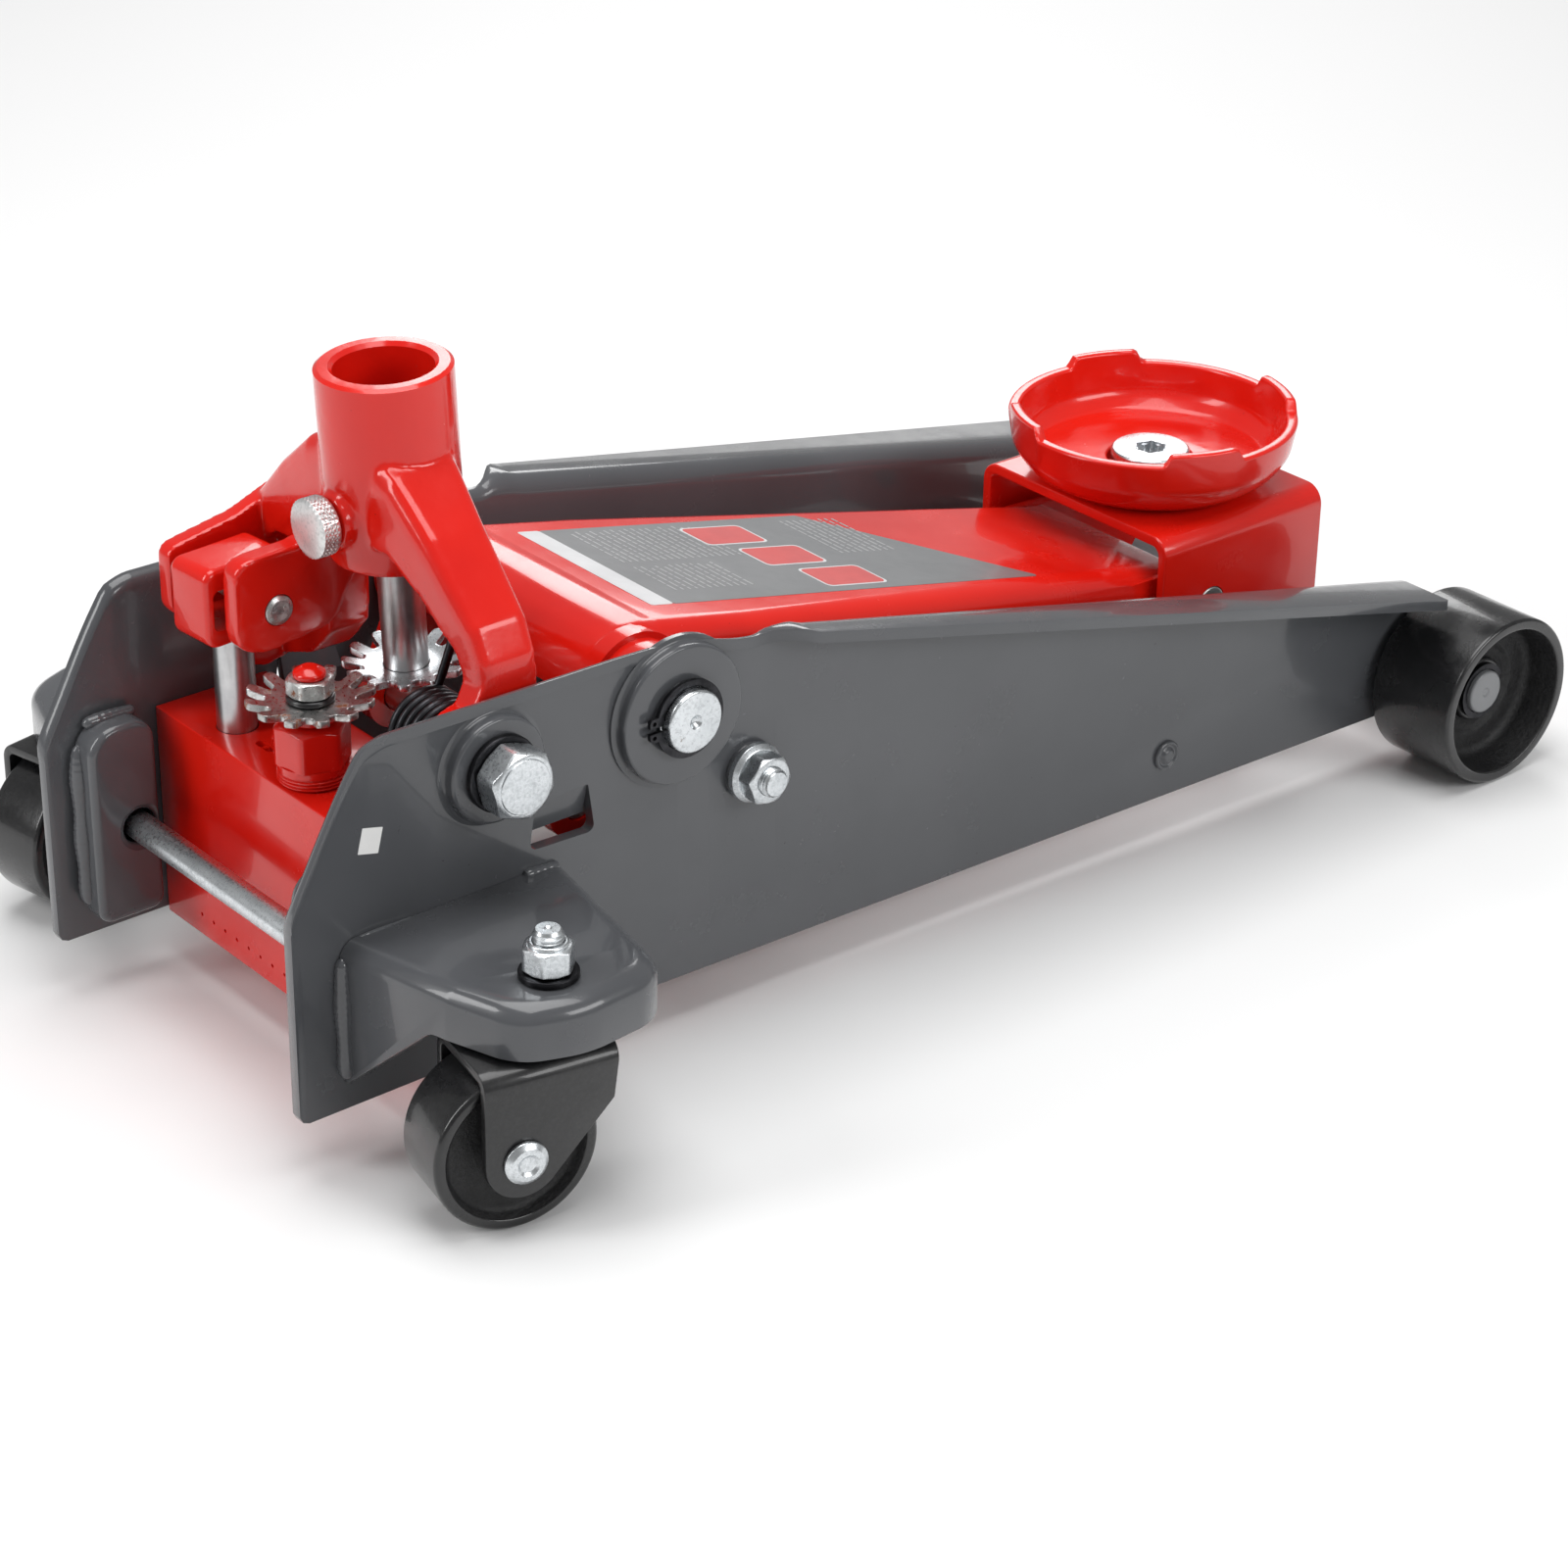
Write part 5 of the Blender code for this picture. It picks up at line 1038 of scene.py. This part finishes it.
def socket_casting():
    """The tube, legs, cheeks and walls melted together, with the tube left too tall."""
    top_x, top_z = SOCKET_TOP
    radius, high = SOCKET_RADIUS + 0.3, top_z + 12.0
    casting = lathe([(0.0, SOCKET_BOTTOM_Z), (radius, SOCKET_BOTTOM_Z, 2.0), (radius, high),
                     (0.0, high)], "Z", (top_x, 0.0))
    lean(casting)
    for sign in (1.0, -1.0):
        inner, outer = sorted((sign * 69.2, sign * 81.8))
        join(casting,
             loft([leg_section(sign, *section) for section in LEG_SECTIONS]),
             prism(SOCKET_NECK, "Y", inner, outer),
             prism(circle(HANDLE_PIVOT, 18.5), "Y", inner - 0.2, outer + 0.2))
    near, far = NEAR_CHEEK_Y, FAR_CHEEK_Y
    join(casting,
         prism(rounded(NEAR_CHEEK, 8), "Y", *near),
         prism(rounded(FAR_CHEEK, 8), "Y", *far),
         prism(rounded(FAR_WALL, 6), "Y", far[0] + 0.4, far[1] - 0.4),
         prism(rounded(FRONT_WEB, 6), "X", 99.0, 118.0),
         prism(SOCKET_BRIDGE, "Y", near[0] + 2.0, far[0] - 5.0),
         rod("X", (0.0, CLAMP_SCREW_Z), 11.0, 82.5, 100.0, 1.0))
    return cast(casting, 1.1, 9)


def handle_socket():
    top_x, top_z = SOCKET_TOP
    flare = SOCKET_BORE_RADIUS + 2.4
    mouth = lathe([(0.0, BORE_FLOOR_Z), (SOCKET_BORE_RADIUS, BORE_FLOOR_Z),
                   (SOCKET_BORE_RADIUS, top_z - 1.6), (flare, top_z + 0.8), (flare, top_z + 9.0),
                   (0.0, top_z + 9.0)], "Z", (top_x, 0.0))
    above = lathe([(0.0, top_z), (SOCKET_RADIUS - 1.3, top_z, 0.5),
                   (SOCKET_RADIUS + 1.8, top_z - 2.2), (60.0, top_z - 2.2), (60.0, top_z + 30.0),
                   (0.0, top_z + 30.0)], "Z", (top_x, 0.0))
    shaft_hole = rod("Z", (top_x, 0.0), RELEASE_SHAFT_RADIUS + GAP, 150.0, BORE_FLOOR_Z + 10.0)
    socket = cut(socket_casting(), lean(above), lean(mouth), lean(shaft_hole),
                 rod("Y", HANDLE_PIVOT, 8.3, -100.0, -60.0),
                 rod("Y", HANDLE_PIVOT, 8.3, 72.3, 100.0),
                 rod("Y", PLUNGER_PIN, PLUNGER_PIN_RADIUS + GAP, 10.0, 80.0),
                 rod("X", (0.0, CLAMP_SCREW_Z), 5.3, 60.0, 98.0))
    piece(socket, "red_cast", "socket", "handle_socket")


def plunger_pin():
    pin = lathe([(0.0, 21.2), (2.0, 20.9, 1.0), (4.2, 20.2, 0.8), (PLUNGER_PIN_RADIUS, 21.2, 0.6),
                 (PLUNGER_PIN_RADIUS, 74.0, 1.0), (0.0, 74.0)], "Y", PLUNGER_PIN)
    piece(pin, "zinc_rusty", "socket", "plunger_pin")


def clamp_screw():
    """The screw that holds the handle, with a diamond knurl round its head."""
    knurls, per_knurl, steps = 34, 6, 14
    low, high = 72.5, 80.5
    edge = 0.9
    rows = []
    for step in range(steps + 1):
        x = low + (high - low) * step / steps
        roll = min(x - low, high - x, edge)
        limit = 12.0 - 0.5 * (edge - roll)
        row = []
        for i in range(per_knurl * knurls):
            turn = i / per_knurl
            one = abs(((turn + step / 2.8) % 1.0) - 0.5)
            other = abs(((turn - step / 2.8) % 1.0) - 0.5)
            radius = min(limit, 11.45 + 1.3 * (0.5 * (one + other)))
            angle = 2.0 * math.pi * turn / knurls
            row.append((x, radius * math.cos(angle), CLAMP_SCREW_Z + radius * math.sin(angle)))
        rows.append(row)
    face = circle((0.0, CLAMP_SCREW_Z), 10.6, per_knurl * knurls)
    knob = loft([[at_axis("X", u, v, low) for u, v in face]] + rows[1:])
    shank = [(0.0, 79.0), (4.4, 79.0)] + thread(5.0, 0.6, 1.25, 80.4, 91.4)
    join(knob, turned(shank + [(4.2, 92.0), (0.0, 92.0)], "X", (0.0, CLAMP_SCREW_Z)))
    piece(knob, "aluminium", "clamp", "clamp_screw", sharp_deg=25.0)


def release_shaft():
    """The slotted shaft in the floor of the socket's bore, and the star wheel at its foot."""
    top_x = SOCKET_TOP[0]
    foot = RELEASE_GEAR_Z - 3.0
    radius = RELEASE_SHAFT_RADIUS
    shaft = lathe([(0.0, foot), (radius, foot, 1.2), (radius, 206.4), (16.5, 206.4, 0.5),
                   (16.5, 215.0, 1.2), (0.0, 215.0)], "Z", (top_x, 0.0))
    cut(shaft, prism(box((top_x - 3.5, -30.0), (top_x + 3.5, 30.0)), "Z", 209.0, 230.0))
    piece(lean(shaft), "polished", "release", "release_shaft")
    facing = math.degrees(math.atan2(VALVE_AT[1], VALVE_AT[0] - socket_axis_x(RELEASE_GEAR_Z)))
    half_tooth = 180.0 / GEAR_TEETH
    gear = star_gear((top_x, 0.0), RELEASE_GEAR_Z, radius + GAP, facing + half_tooth)
    piece(lean(gear), "zinc", "release", "release_gear", sharp_deg=50.0)


def torsion_spring():
    """The handle's return spring: a straight leg, five coils and a short tail."""
    wire, mean = 1.85, 15.2
    start_y, end_y = -45.5, -65.5
    leg = ((107.2, 178.0), (105.4, 173.6), (103.0, 167.8), (101.4, 164.0), (100.4, 161.6),
           (99.4, 159.6))
    path = [Vector((x, start_y, z)) for x, z in leg]
    steps = 210
    first_angle, last_angle = math.radians(60.0), math.radians(-1800.0)
    for i in range(steps + 1):
        angle = first_angle + (last_angle - first_angle) * i / steps
        path.append(Vector((HANDLE_PIVOT[0] + mean * math.cos(angle),
                            start_y + (end_y - start_y) * i / steps,
                            HANDLE_PIVOT[1] + mean * math.sin(angle))))
    tail = ((0.4, 0.1, -3.0), (0.4, 0.3, -6.5), (0.0, 0.5, -10.0))
    last = path[-1]
    path += [last + Vector(offset) for offset in tail]
    piece(swept(path, lambda i: wire), "black_steel", "frame", "handle_spring", sharp_deg=60.0)


# ============================================================================================
# Lifting arm, levelling links and saddle
# ============================================================================================
def arm_top_z(x):
    return ARM_TOP_Z - ARM_TOP_SLOPE * (x - ARM_SLOPE_START_X)


def arm_half_width(x):
    share = (x - ARM_TAPER_START_X) / (ARM_TAPER_END_X - ARM_TAPER_START_X)
    share = min(1.0, max(0.0, share))
    return ARM_REAR_HALF_WIDTH + (ARM_FRONT_HALF_WIDTH - ARM_REAR_HALF_WIDTH) * share


def arm_bottom_z(x):
    if x < ARM_TAPER_START_X:
        return 118.0 - 10.0 * (x - ARM_REAR_X) / 85.0
    return 108.0 - 42.0 * (x - ARM_TAPER_START_X) / 270.0


def arm_section(x, top):
    bottom = arm_bottom_z(x)
    bend = min(11.0, (top - bottom) * 0.4)
    outline = channel_outline(arm_half_width(x), bottom, top, ARM_WALL, bend, bend - ARM_WALL * 0.6,
                              9, 5)
    return [(x, y, z) for y, z in outline]


def lift_arm():
    roll = refined([(ARM_REAR_X, 146.0), (157.0, 152.0), (161.5, 158.0), (169.0, 162.5),
                    (179.0, 164.6), (187.0, 164.4), (ARM_SLOPE_START_X, ARM_TOP_Z)], 1.6)
    straight = [(x, arm_top_z(x)) for x in (ARM_TAPER_START_X, 260.0, 300.0, 360.0, 420.0,
                                            ARM_TAPER_END_X, 497.0)]
    arm = loft([arm_section(x, top) for x, top in roll + straight])
    soften(arm, 0.8, 3, 50.0)
    crank = hull(circle(ARM_PIVOT, 23.5) + circle(CRANK_PIN, 15.0))
    tip = hull(circle(ARM_TIP, 15.0) + [(460.0, 97.0), (460.0, 76.0)])
    for sign in (1.0, -1.0):
        for outline, low, high in ((crank, 57.5, 65.6), (tip, 43.5, 49.6)):
            join(arm, prism(outline, "Y", *sorted((sign * low, sign * high))))
        inner, outer = sign * 58.0, sign * 84.4
        join(arm, lathe([(0.0, inner), (21.0, inner), (21.0, outer, 1.8), (0.0, outer)],
                        "Y", ARM_PIVOT))
    cut(arm,
        rod("Y", ARM_PIVOT, ARM_SHAFT_RADIUS + GAP, -100.0, 100.0),
        rod("Y", CRANK_PIN, CRANK_PIN_RADIUS + GAP, -80.0, 80.0),
        rod("Y", ARM_TIP, 8.3, -80.0, 80.0))
    piece(arm, "red", "arm", "lift_arm")
    piece(rod("Y", CRANK_PIN, CRANK_PIN_RADIUS, -65.0, 65.0, 0.8), "machined", "arm", "ram_pin")


def on_arm(points, low, high):
    """A thin plate lying on the arm's sloping web, from an outline in plan."""
    return loft([[(x, y, arm_top_z(x) + lift) for x, y in points] for lift in (low, high)])


def label_shape(x_low, x_high, y_low, y_high, lift, corner=1.5):
    return on_arm(box((x_low, y_low), (x_high, y_high), corner, 4), -0.4 + lift, lift)


def merged(objects):
    """Several meshes as one object."""
    bm = bmesh.new()
    for obj in objects:
        bm.from_mesh(obj.data)
        bpy.data.objects.remove(obj)
    mesh = bpy.data.meshes.new("piece")
    bm.to_mesh(mesh)
    bm.free()
    obj = bpy.data.objects.new("piece", mesh)
    bpy.context.scene.collection.objects.link(obj)
    return obj


def arm_label():
    """A plain information panel: a grey field, a pale strip, three red blocks and rows of bars."""
    front, rear = 414.0, 214.0
    left, right = 46.0, -44.0
    oblique = 62.0                  # how much shorter the field is on the left
    field = [(rear, right, 1.5), (front, right, 1.5), (front - oblique, left, 1.5),
             (rear, left, 1.5)]
    piece(on_arm(rounded(field, 4), -0.4, 0.12), "label_panel", "arm", name="label_panel")
    strip = label_shape(rear - 11.0, rear + 0.2, right, left, 0.14)
    piece(strip, "label_pale", "arm", name="label_strip")
    length, width, edge, first_y = 33.0, 22.0, 1.0, -38.5
    blocks = []
    frames = []
    for y in (first_y, -11.0, 16.5):
        x = 300.0 - 0.35 * (y - first_y)
        frames.append(label_shape(x, x + length, y, y + width, 0.2, 3.0))
        blocks.append(label_shape(x + edge, x + length - edge, y + edge, y + width - edge,
                                  0.28, 2.6))
    piece(merged(frames), "label_pale", "arm", name="label_block_frames")
    piece(merged(blocks), "label_red", "arm", name="label_blocks")
    draw = random.Random(7)
    pitch = 3.6
    bars = []
    for x_start, x_end, y_start, y_end in ((226.0, 292.0, 4.0, 42.0), (226.0, 270.0, -30.0, -2.0),
                                           (338.0, 372.0, -2.0, 40.0)):
        for row in range(int((x_end - x_start) / pitch)):
            x = x_start + pitch * row
            y = y_start
            while y < y_end - 2.0:
                width = min(draw.uniform(2.0, 7.0), y_end - y)
                bars.append(label_shape(x, x + 1.0, y, y + width, 0.19, 0.3))
                y += width + 0.9
    piece(merged(bars), "label_bar", "arm", name="label_bars")


def saddle_carrier():
    half, wall, top = CARRIER_HALF_WIDTH, CARRIER_WALL, CARRIER_TOP_Z
    bend = 9.0
    outline = channel_outline(half, 20.0, top, wall, bend, bend - wall, 10, 8)
    channel = prism(outline, "X", CARRIER_REAR_X, CARRIER_FRONT_X)
    side = rounded([(CARRIER_REAR_X - 5.0, top + 5.0), (CARRIER_REAR_X - 5.0, 78.0),
                    (CARRIER_REAR_X + 10.0, 64.0, 10.0), (LINK_TIP[0] - 12.0, 31.0, 12.0),
                    (LINK_TIP[0] + 14.0, 31.0, 14.0), (CARRIER_FRONT_X + 4.0, 62.0, 12.0),
                    (CARRIER_FRONT_X + 5.0, top + 5.0)], 10)
    combine(channel, prism(side, "Y", -80.0, 80.0), "INTERSECT")
    soften(channel, 0.9, 3, 50.0)
    cut(channel,
        rod("Y", ARM_TIP, 8.3, -80.0, 80.0),
        rod("Y", LINK_TIP, 7.3, -80.0, 80.0),
        rod("Z", (SADDLE_X, 0.0), 8.3, 90.0, 130.0))
    piece(channel, "red", "carrier", "saddle_carrier")


def levelling_links():
    """The two pins of the carrier and the links that keep it level."""
    reach = CARRIER_HALF_WIDTH + GAP
    piece(rod("Y", ARM_TIP, 8.0, -reach, reach, 0.8), "machined", "carrier", "arm_tip_pin")
    inner, outer = LINK_ROD_Y
    pin_half = [(7.0, 0.0, 0.0), (7.0, reach, 0.0), (11.0, reach, 0.5), (11.0, inner - GAP, 0.5),
                (7.0, inner - GAP, 0.0), (7.0, outer + GAP, 0.0), (10.0, outer + GAP, 0.5),
                (10.0, outer + 3.0, 0.6), (0.0, outer + 3.0, 0.0)]
    piece(lathe(both_ways(pin_half), "Y", LINK_TIP), "machined", "carrier", "link_tip_pin")
    link = prism(hull(circle(LINK_ANCHOR, 11.5) + circle(LINK_TIP, 11.5)), "Y", inner, outer)
    soften(link, 0.7, 3, 50.0)
    cut(link, rod("Y", LINK_ANCHOR, 6.6, 50.0, 100.0), rod("Y", LINK_TIP, 7.3, 50.0, 100.0))
    pair(link, "black_satin", "link_{}", "link_rod")


def saddle():
    """The cup: its rim climbs on to four lugs, whose ends ramp and whose tops are flat."""
    rim, top = SADDLE_RIM_RADIUS, SADDLE_RIM_Z
    base = CARRIER_TOP_Z + GAP
    floor = SADDLE_FLOOR_Z
    profile = rounded([(9.0, base), (36.0, base, 6.0), (46.5, base + 1.6, 14.0),
                       (56.5, base + 7.5, 16.0), (62.3, base + 16.0, 12.0), (rim, top, 1.3),
                       (rim - 5.4, top, 1.6), (58.6, floor + 7.0, 9.0), (52.5, floor, 6.0),
                       (19.3, floor, 1.2), (19.3, 121.0, 0.5), (9.0, 121.0)], 6)
    sides = 240
    rows = []
    for radius, height in profile:
        rise = max(0.0, min(1.0, (height - floor - 8.0) / (top - floor - 9.0)))
        row = []
        for i in range(sides):
            bearing = 360.0 * i / sides
            from_lug = abs((bearing - LUG_BEARING_DEG + 45.0) % 90.0 - 45.0)
            lug = max(0.0, min(1.0, (LUG_HALF_WIDTH_DEG - from_lug) / LUG_RAMP_DEG))
            lug = lug * lug * (3.0 - 2.0 * lug)
            angle = math.radians(bearing)
            outer_edge = radius > 62.5 and height > top - 3.0
            reach = radius - (0.45 * lug * rise if outer_edge else 0.0)
            row.append((SADDLE_X + reach * math.cos(angle), reach * math.sin(angle),
                        height + LUG_HEIGHT * lug * rise ** 1.5))
        rows.append(row)
    piece(loft(rows, closed=True), "red_cast", "saddle_cup", "saddle", sharp_deg=50.0)


def saddle_screw():
    """The screw that the cup turns on, with a star socket in its head."""
    screw = lathe([(0.0, 101.0), (8.0, 101.0, 1.0), (8.0, 121.4), (14.0, 123.0, 1.0),
                   (17.6, 126.5, 0.6), (17.6, 131.2, 1.3), (0.0, 131.2)], "Z", (SADDLE_X, 0.0),
                  sides=96)
    star = []
    for i in range(12):
        radius = 8.4 if i % 2 else 5.6
        angle = math.pi * (i + 0.4) / 6.0
        star.append((SADDLE_X + radius * math.cos(angle), radius * math.sin(angle),
                     1.2 if i % 2 else 1.6))
    cut(screw,
        prism(rounded(star), "Z", 126.5, 140.0),
        rod("Z", (SADDLE_X, 0.0), 6.6, 130.0, 140.0))
    piece(screw, "zinc", "carrier", "saddle_screw")


# ============================================================================================
# Wheels and casters
# ============================================================================================
def front_wheels():
    profile = rounded([(10.4, 107.6, 0.4), (39.0, 107.6, 2.4), (39.0, 153.0, 1.6),
                       (33.9, 153.0, 1.2), (31.6, 136.0, 4.5), (22.0, 135.4, 3.0),
                       (19.5, 133.4, 2.0), (14.6, 133.6, 0.8), (14.6, 137.0, 0.9),
                       (10.4, 137.0, 0.4)], 6)
    for side, sign in SIDES:
        wheel = turned([(r, sign * y) for r, y in profile], "Y", FRONT_AXLE, 128)
        axle_x, axle_z = FRONT_AXLE

        def in_cup(x, y, z):
            return abs(y) > 131.0 and 13.6 < math.hypot(x - axle_x, z - axle_z) < 34.2

        second_look(wheel, "black_gloss", "black_rough", in_cup)
        piece(wheel, "black_gloss", "front_roll_" + side, "front_wheel_" + side)


def shifted(profile, distance):
    return [(radius, along + distance) for radius, along in profile]


def caster_fork(x, y, axle):
    section = channel_outline(FORK_HALF_WIDTH, 0.0, FORK_TOP_Z, FORK_WALL, FORK_BEND,
                              FORK_BEND - FORK_WALL, 8, 6)
    fork = prism([(y + across, z) for across, z in section], "X", x - 60.0, x + 40.0)
    over = FORK_TOP_Z + 2.0
    outline = hull(circle(axle, 15.5) + [(x + 16.0, 50.0), (x + 19.0, over), (x - 36.0, over)])
    combine(fork, prism(outline, "Y", y - 40.0, y + 40.0), "INTERSECT")
    soften(fork, 0.7, 2, 50.0)
    neck_top = BRACKET_TOP_Z - BRACKET_WALL - GAP
    join(fork, lathe([(0.0, FORK_TOP_Z - 2.0), (16.5, FORK_TOP_Z - 2.0),
                      (16.5, FORK_TOP_Z + 5.5, 2.5), (14.5, FORK_TOP_Z + 8.0, 1.5),
                      (14.5, neck_top, 1.0), (0.0, neck_top)], "Z", (x, y)))
    return cut(fork, rod("Z", (x, y), 6.4, 50.0, 110.0), rod("Y", axle, 5.3, y - 30.0, y + 30.0))


def caster_wheel(y, axle):
    """A wheel with dished faces, pitted inside the dish and smooth on the tread."""
    half = CASTER_WHEEL_WIDTH / 2.0
    profile = [(CASTER_WHEEL_RADIUS, 0.0, 0.0), (CASTER_WHEEL_RADIUS, half, 2.6), (28.6, half, 0.9),
               (26.4, half - 4.4, 2.6), (9.8, half - 5.6, 1.6), (9.5, half + 1.4, 0.6),
               (5.3, half + 1.4, 0.3)]
    wheel = turned(shifted(rounded(both_ways(profile), 6), y), "Y", axle, 128)

    def in_dish(px, py, pz):
        return abs(py - y) < half - 0.6 and math.hypot(px - axle[0], pz - axle[1]) < 28.3

    return second_look(wheel, "black_gloss", "black_rough", in_dish)


def caster_rivet(y, axle):
    half = [(5.0, 21.7, 0.0), (8.8, 21.7, 0.2), (8.8, 23.2, 0.9), (6.6, 25.0, 0.8),
            (4.6, 25.3, 0.5), (3.2, 24.2, 0.8), (0.0, 24.0, 0.0)]
    return turned(shifted(rounded(both_ways(half)), y), "Y", axle)


def king_bolt(at):
    under = FORK_TOP_Z - 4.0 - GAP
    bolt = [(0.0, 64.6), (8.0, 64.6), (9.0, 65.4), (9.0, under), (6.0, under), (6.0, 96.0)]
    bolt += thread(6.0, 0.75, 1.75, 97.0, 112.6)
    return turned(bolt + [(5.3, 113.0), (4.6, 114.2), (1.6, 114.2), (0.0, 113.0)], "Z", at)


def caster_nut(at):
    """A lock nut: a hexagon with a round collar on top."""
    top = BRACKET_TOP_Z
    nut = hexagon("Z", at, 18.0, top + 3.2, top + 13.6, 12.0)
    join(nut, lathe([(0.0, top + 12.0), (7.6, top + 12.0), (7.6, top + 15.0, 0.9),
                     (0.0, top + 15.0)], "Z", at))
    return cut(nut, rod("Z", at, 6.25, 80.0, 130.0))


def casters():
    low, high = BRACKET_TOP_Z + GAP, BRACKET_TOP_Z + 3.0
    washer = [(6.3, low, 0.2), (11.4, low, 0.5), (11.4, high, 0.7), (6.3, high, 0.3)]
    for side, sign in SIDES:
        x, y = CASTER_AT[0], sign * CASTER_AT[1]
        axle = (x - CASTER_TRAIL, CASTER_WHEEL_RADIUS)
        shapes = (
            (caster_fork(x, y, axle), "black_satin", "caster_", "caster_fork_"),
            (caster_wheel(y, axle), "black_gloss", "caster_roll_", "caster_wheel_"),
            (caster_rivet(y, axle), "zinc", "caster_", "caster_rivet_"))
        for shape, look, body, stem in shapes:
            turn_about(shape, (x, y, FORK_TOP_Z), "Z", sign * CASTER_YAW)
            piece(shape, look, body + side, stem + side)
        piece(king_bolt((x, y)), "zinc", "frame", "king_bolt_" + side)
        piece(caster_nut((x, y)), "zinc", "frame", "caster_nut_" + side)
        piece(lathe(washer, "Z", (x, y)), "black_steel", "frame", name="caster_washer_" + side)


# ============================================================================================
# Sticker, studio and camera
# ============================================================================================
def stickers():
    """A blank inspection dot on the right side plate, stuck on a little askew."""
    middle = (36.0, 131.6)
    tilt = math.radians(-14.0)
    outline = [(middle[0] + u * math.cos(tilt) - v * math.sin(tilt),
                middle[1] + u * math.sin(tilt) + v * math.cos(tilt))
               for u, v in box((-4.6, -5.2), (4.6, 5.2), 0.3, 3)]
    face = -plate_face_y(middle[0]) - 0.12
    piece(prism(outline, "Y", face, face + 0.4), "sticker", "frame", name="inspection_sticker")


def studio():
    floor_mesh = bpy.data.meshes.new("floor")
    size = 6.0
    level = -0.0004
    corners = [(-size, -size, level), (size, -size, level), (size, size, level),
               (-size, size, level)]
    floor_mesh.from_pydata(corners, [], [(0, 1, 2, 3)])
    floor = bpy.data.objects.new("studio_floor", floor_mesh)
    bpy.context.scene.collection.objects.link(floor)
    material = bpy.data.materials.new("studio_floor")
    material.use_nodes = True
    shader = material.node_tree.nodes["Principled BSDF"]
    shader.inputs["Base Color"].default_value = (0.86, 0.86, 0.86, 1.0)
    shader.inputs["Roughness"].default_value = 0.7
    floor_mesh.materials.append(material)

    world = bpy.data.worlds.new("studio")
    world.use_nodes = True
    world.node_tree.nodes["Background"].inputs["Color"].default_value = (1.0, 1.0, 1.0, 1.0)
    world.node_tree.nodes["Background"].inputs["Strength"].default_value = 0.3
    bpy.context.scene.world = world

    # name, place, width and height, power
    panels = [
        ("overhead", (-0.1, 0.0, 1.9), (1.6, 1.2), 26.0),
        ("left_window", (-1.7, 0.5, 1.1), (0.5, 1.3), 14.0),
        ("front_window", (0.5, -2.0, 1.2), (1.5, 0.7), 20.0),
        ("far_window", (1.3, 1.5, 1.2), (1.0, 0.8), 12.0),
    ]
    for name, place, (width, height), power in panels:
        lamp = bpy.data.lights.new(name, "AREA")
        lamp.shape = "RECTANGLE"
        lamp.size = width
        lamp.size_y = height
        lamp.energy = power
        holder = bpy.data.objects.new(name, lamp)
        bpy.context.scene.collection.objects.link(holder)
        holder.location = place
        aim = Vector((0.0, 0.0, 0.1)) - Vector(place)
        holder.rotation_euler = aim.to_track_quat("-Z", "Y").to_euler()
    bpy.context.scene.view_settings.view_transform = "Standard"


def camera():
    """The photograph's viewpoint: from the rear right and above, with a long lens."""
    place = Vector((-0.99173, -1.16523, 0.82606))
    azimuth, elevation, roll = -0.67748, 0.47870, 0.00337       # radians
    ahead = Vector((-math.sin(azimuth) * math.cos(elevation),
                    math.cos(azimuth) * math.cos(elevation), -math.sin(elevation)))
    right = Vector((math.cos(azimuth), math.sin(azimuth), 0.0))
    up = right.cross(ahead)
    right, up = (right * math.cos(roll) + up * math.sin(roll),
                 up * math.cos(roll) - right * math.sin(roll))
    data = bpy.data.cameras.new("camera")
    data.lens = 91.51
    data.sensor_width = 36.0
    data.shift_x = 0.05119
    data.shift_y = -0.008261875
    obj = bpy.data.objects.new("camera", data)
    bpy.context.scene.collection.objects.link(obj)
    turn = Matrix((right, up, -ahead)).transposed().to_4x4()
    obj.matrix_world = Matrix.Translation(place) @ turn
    bpy.context.scene.camera = obj


side_plates()
caster_brackets()
rear_gussets()
cross_members()
arm_shaft()
plate_hardware()
pump_block()
ram()
filler_plug()
release_valve()
pump_plunger()
handle_socket()
plunger_pin()
clamp_screw()
release_shaft()
torsion_spring()
lift_arm()
arm_label()
saddle_carrier()
levelling_links()
saddle()
saddle_screw()
front_wheels()
casters()
stickers()
studio()
camera()
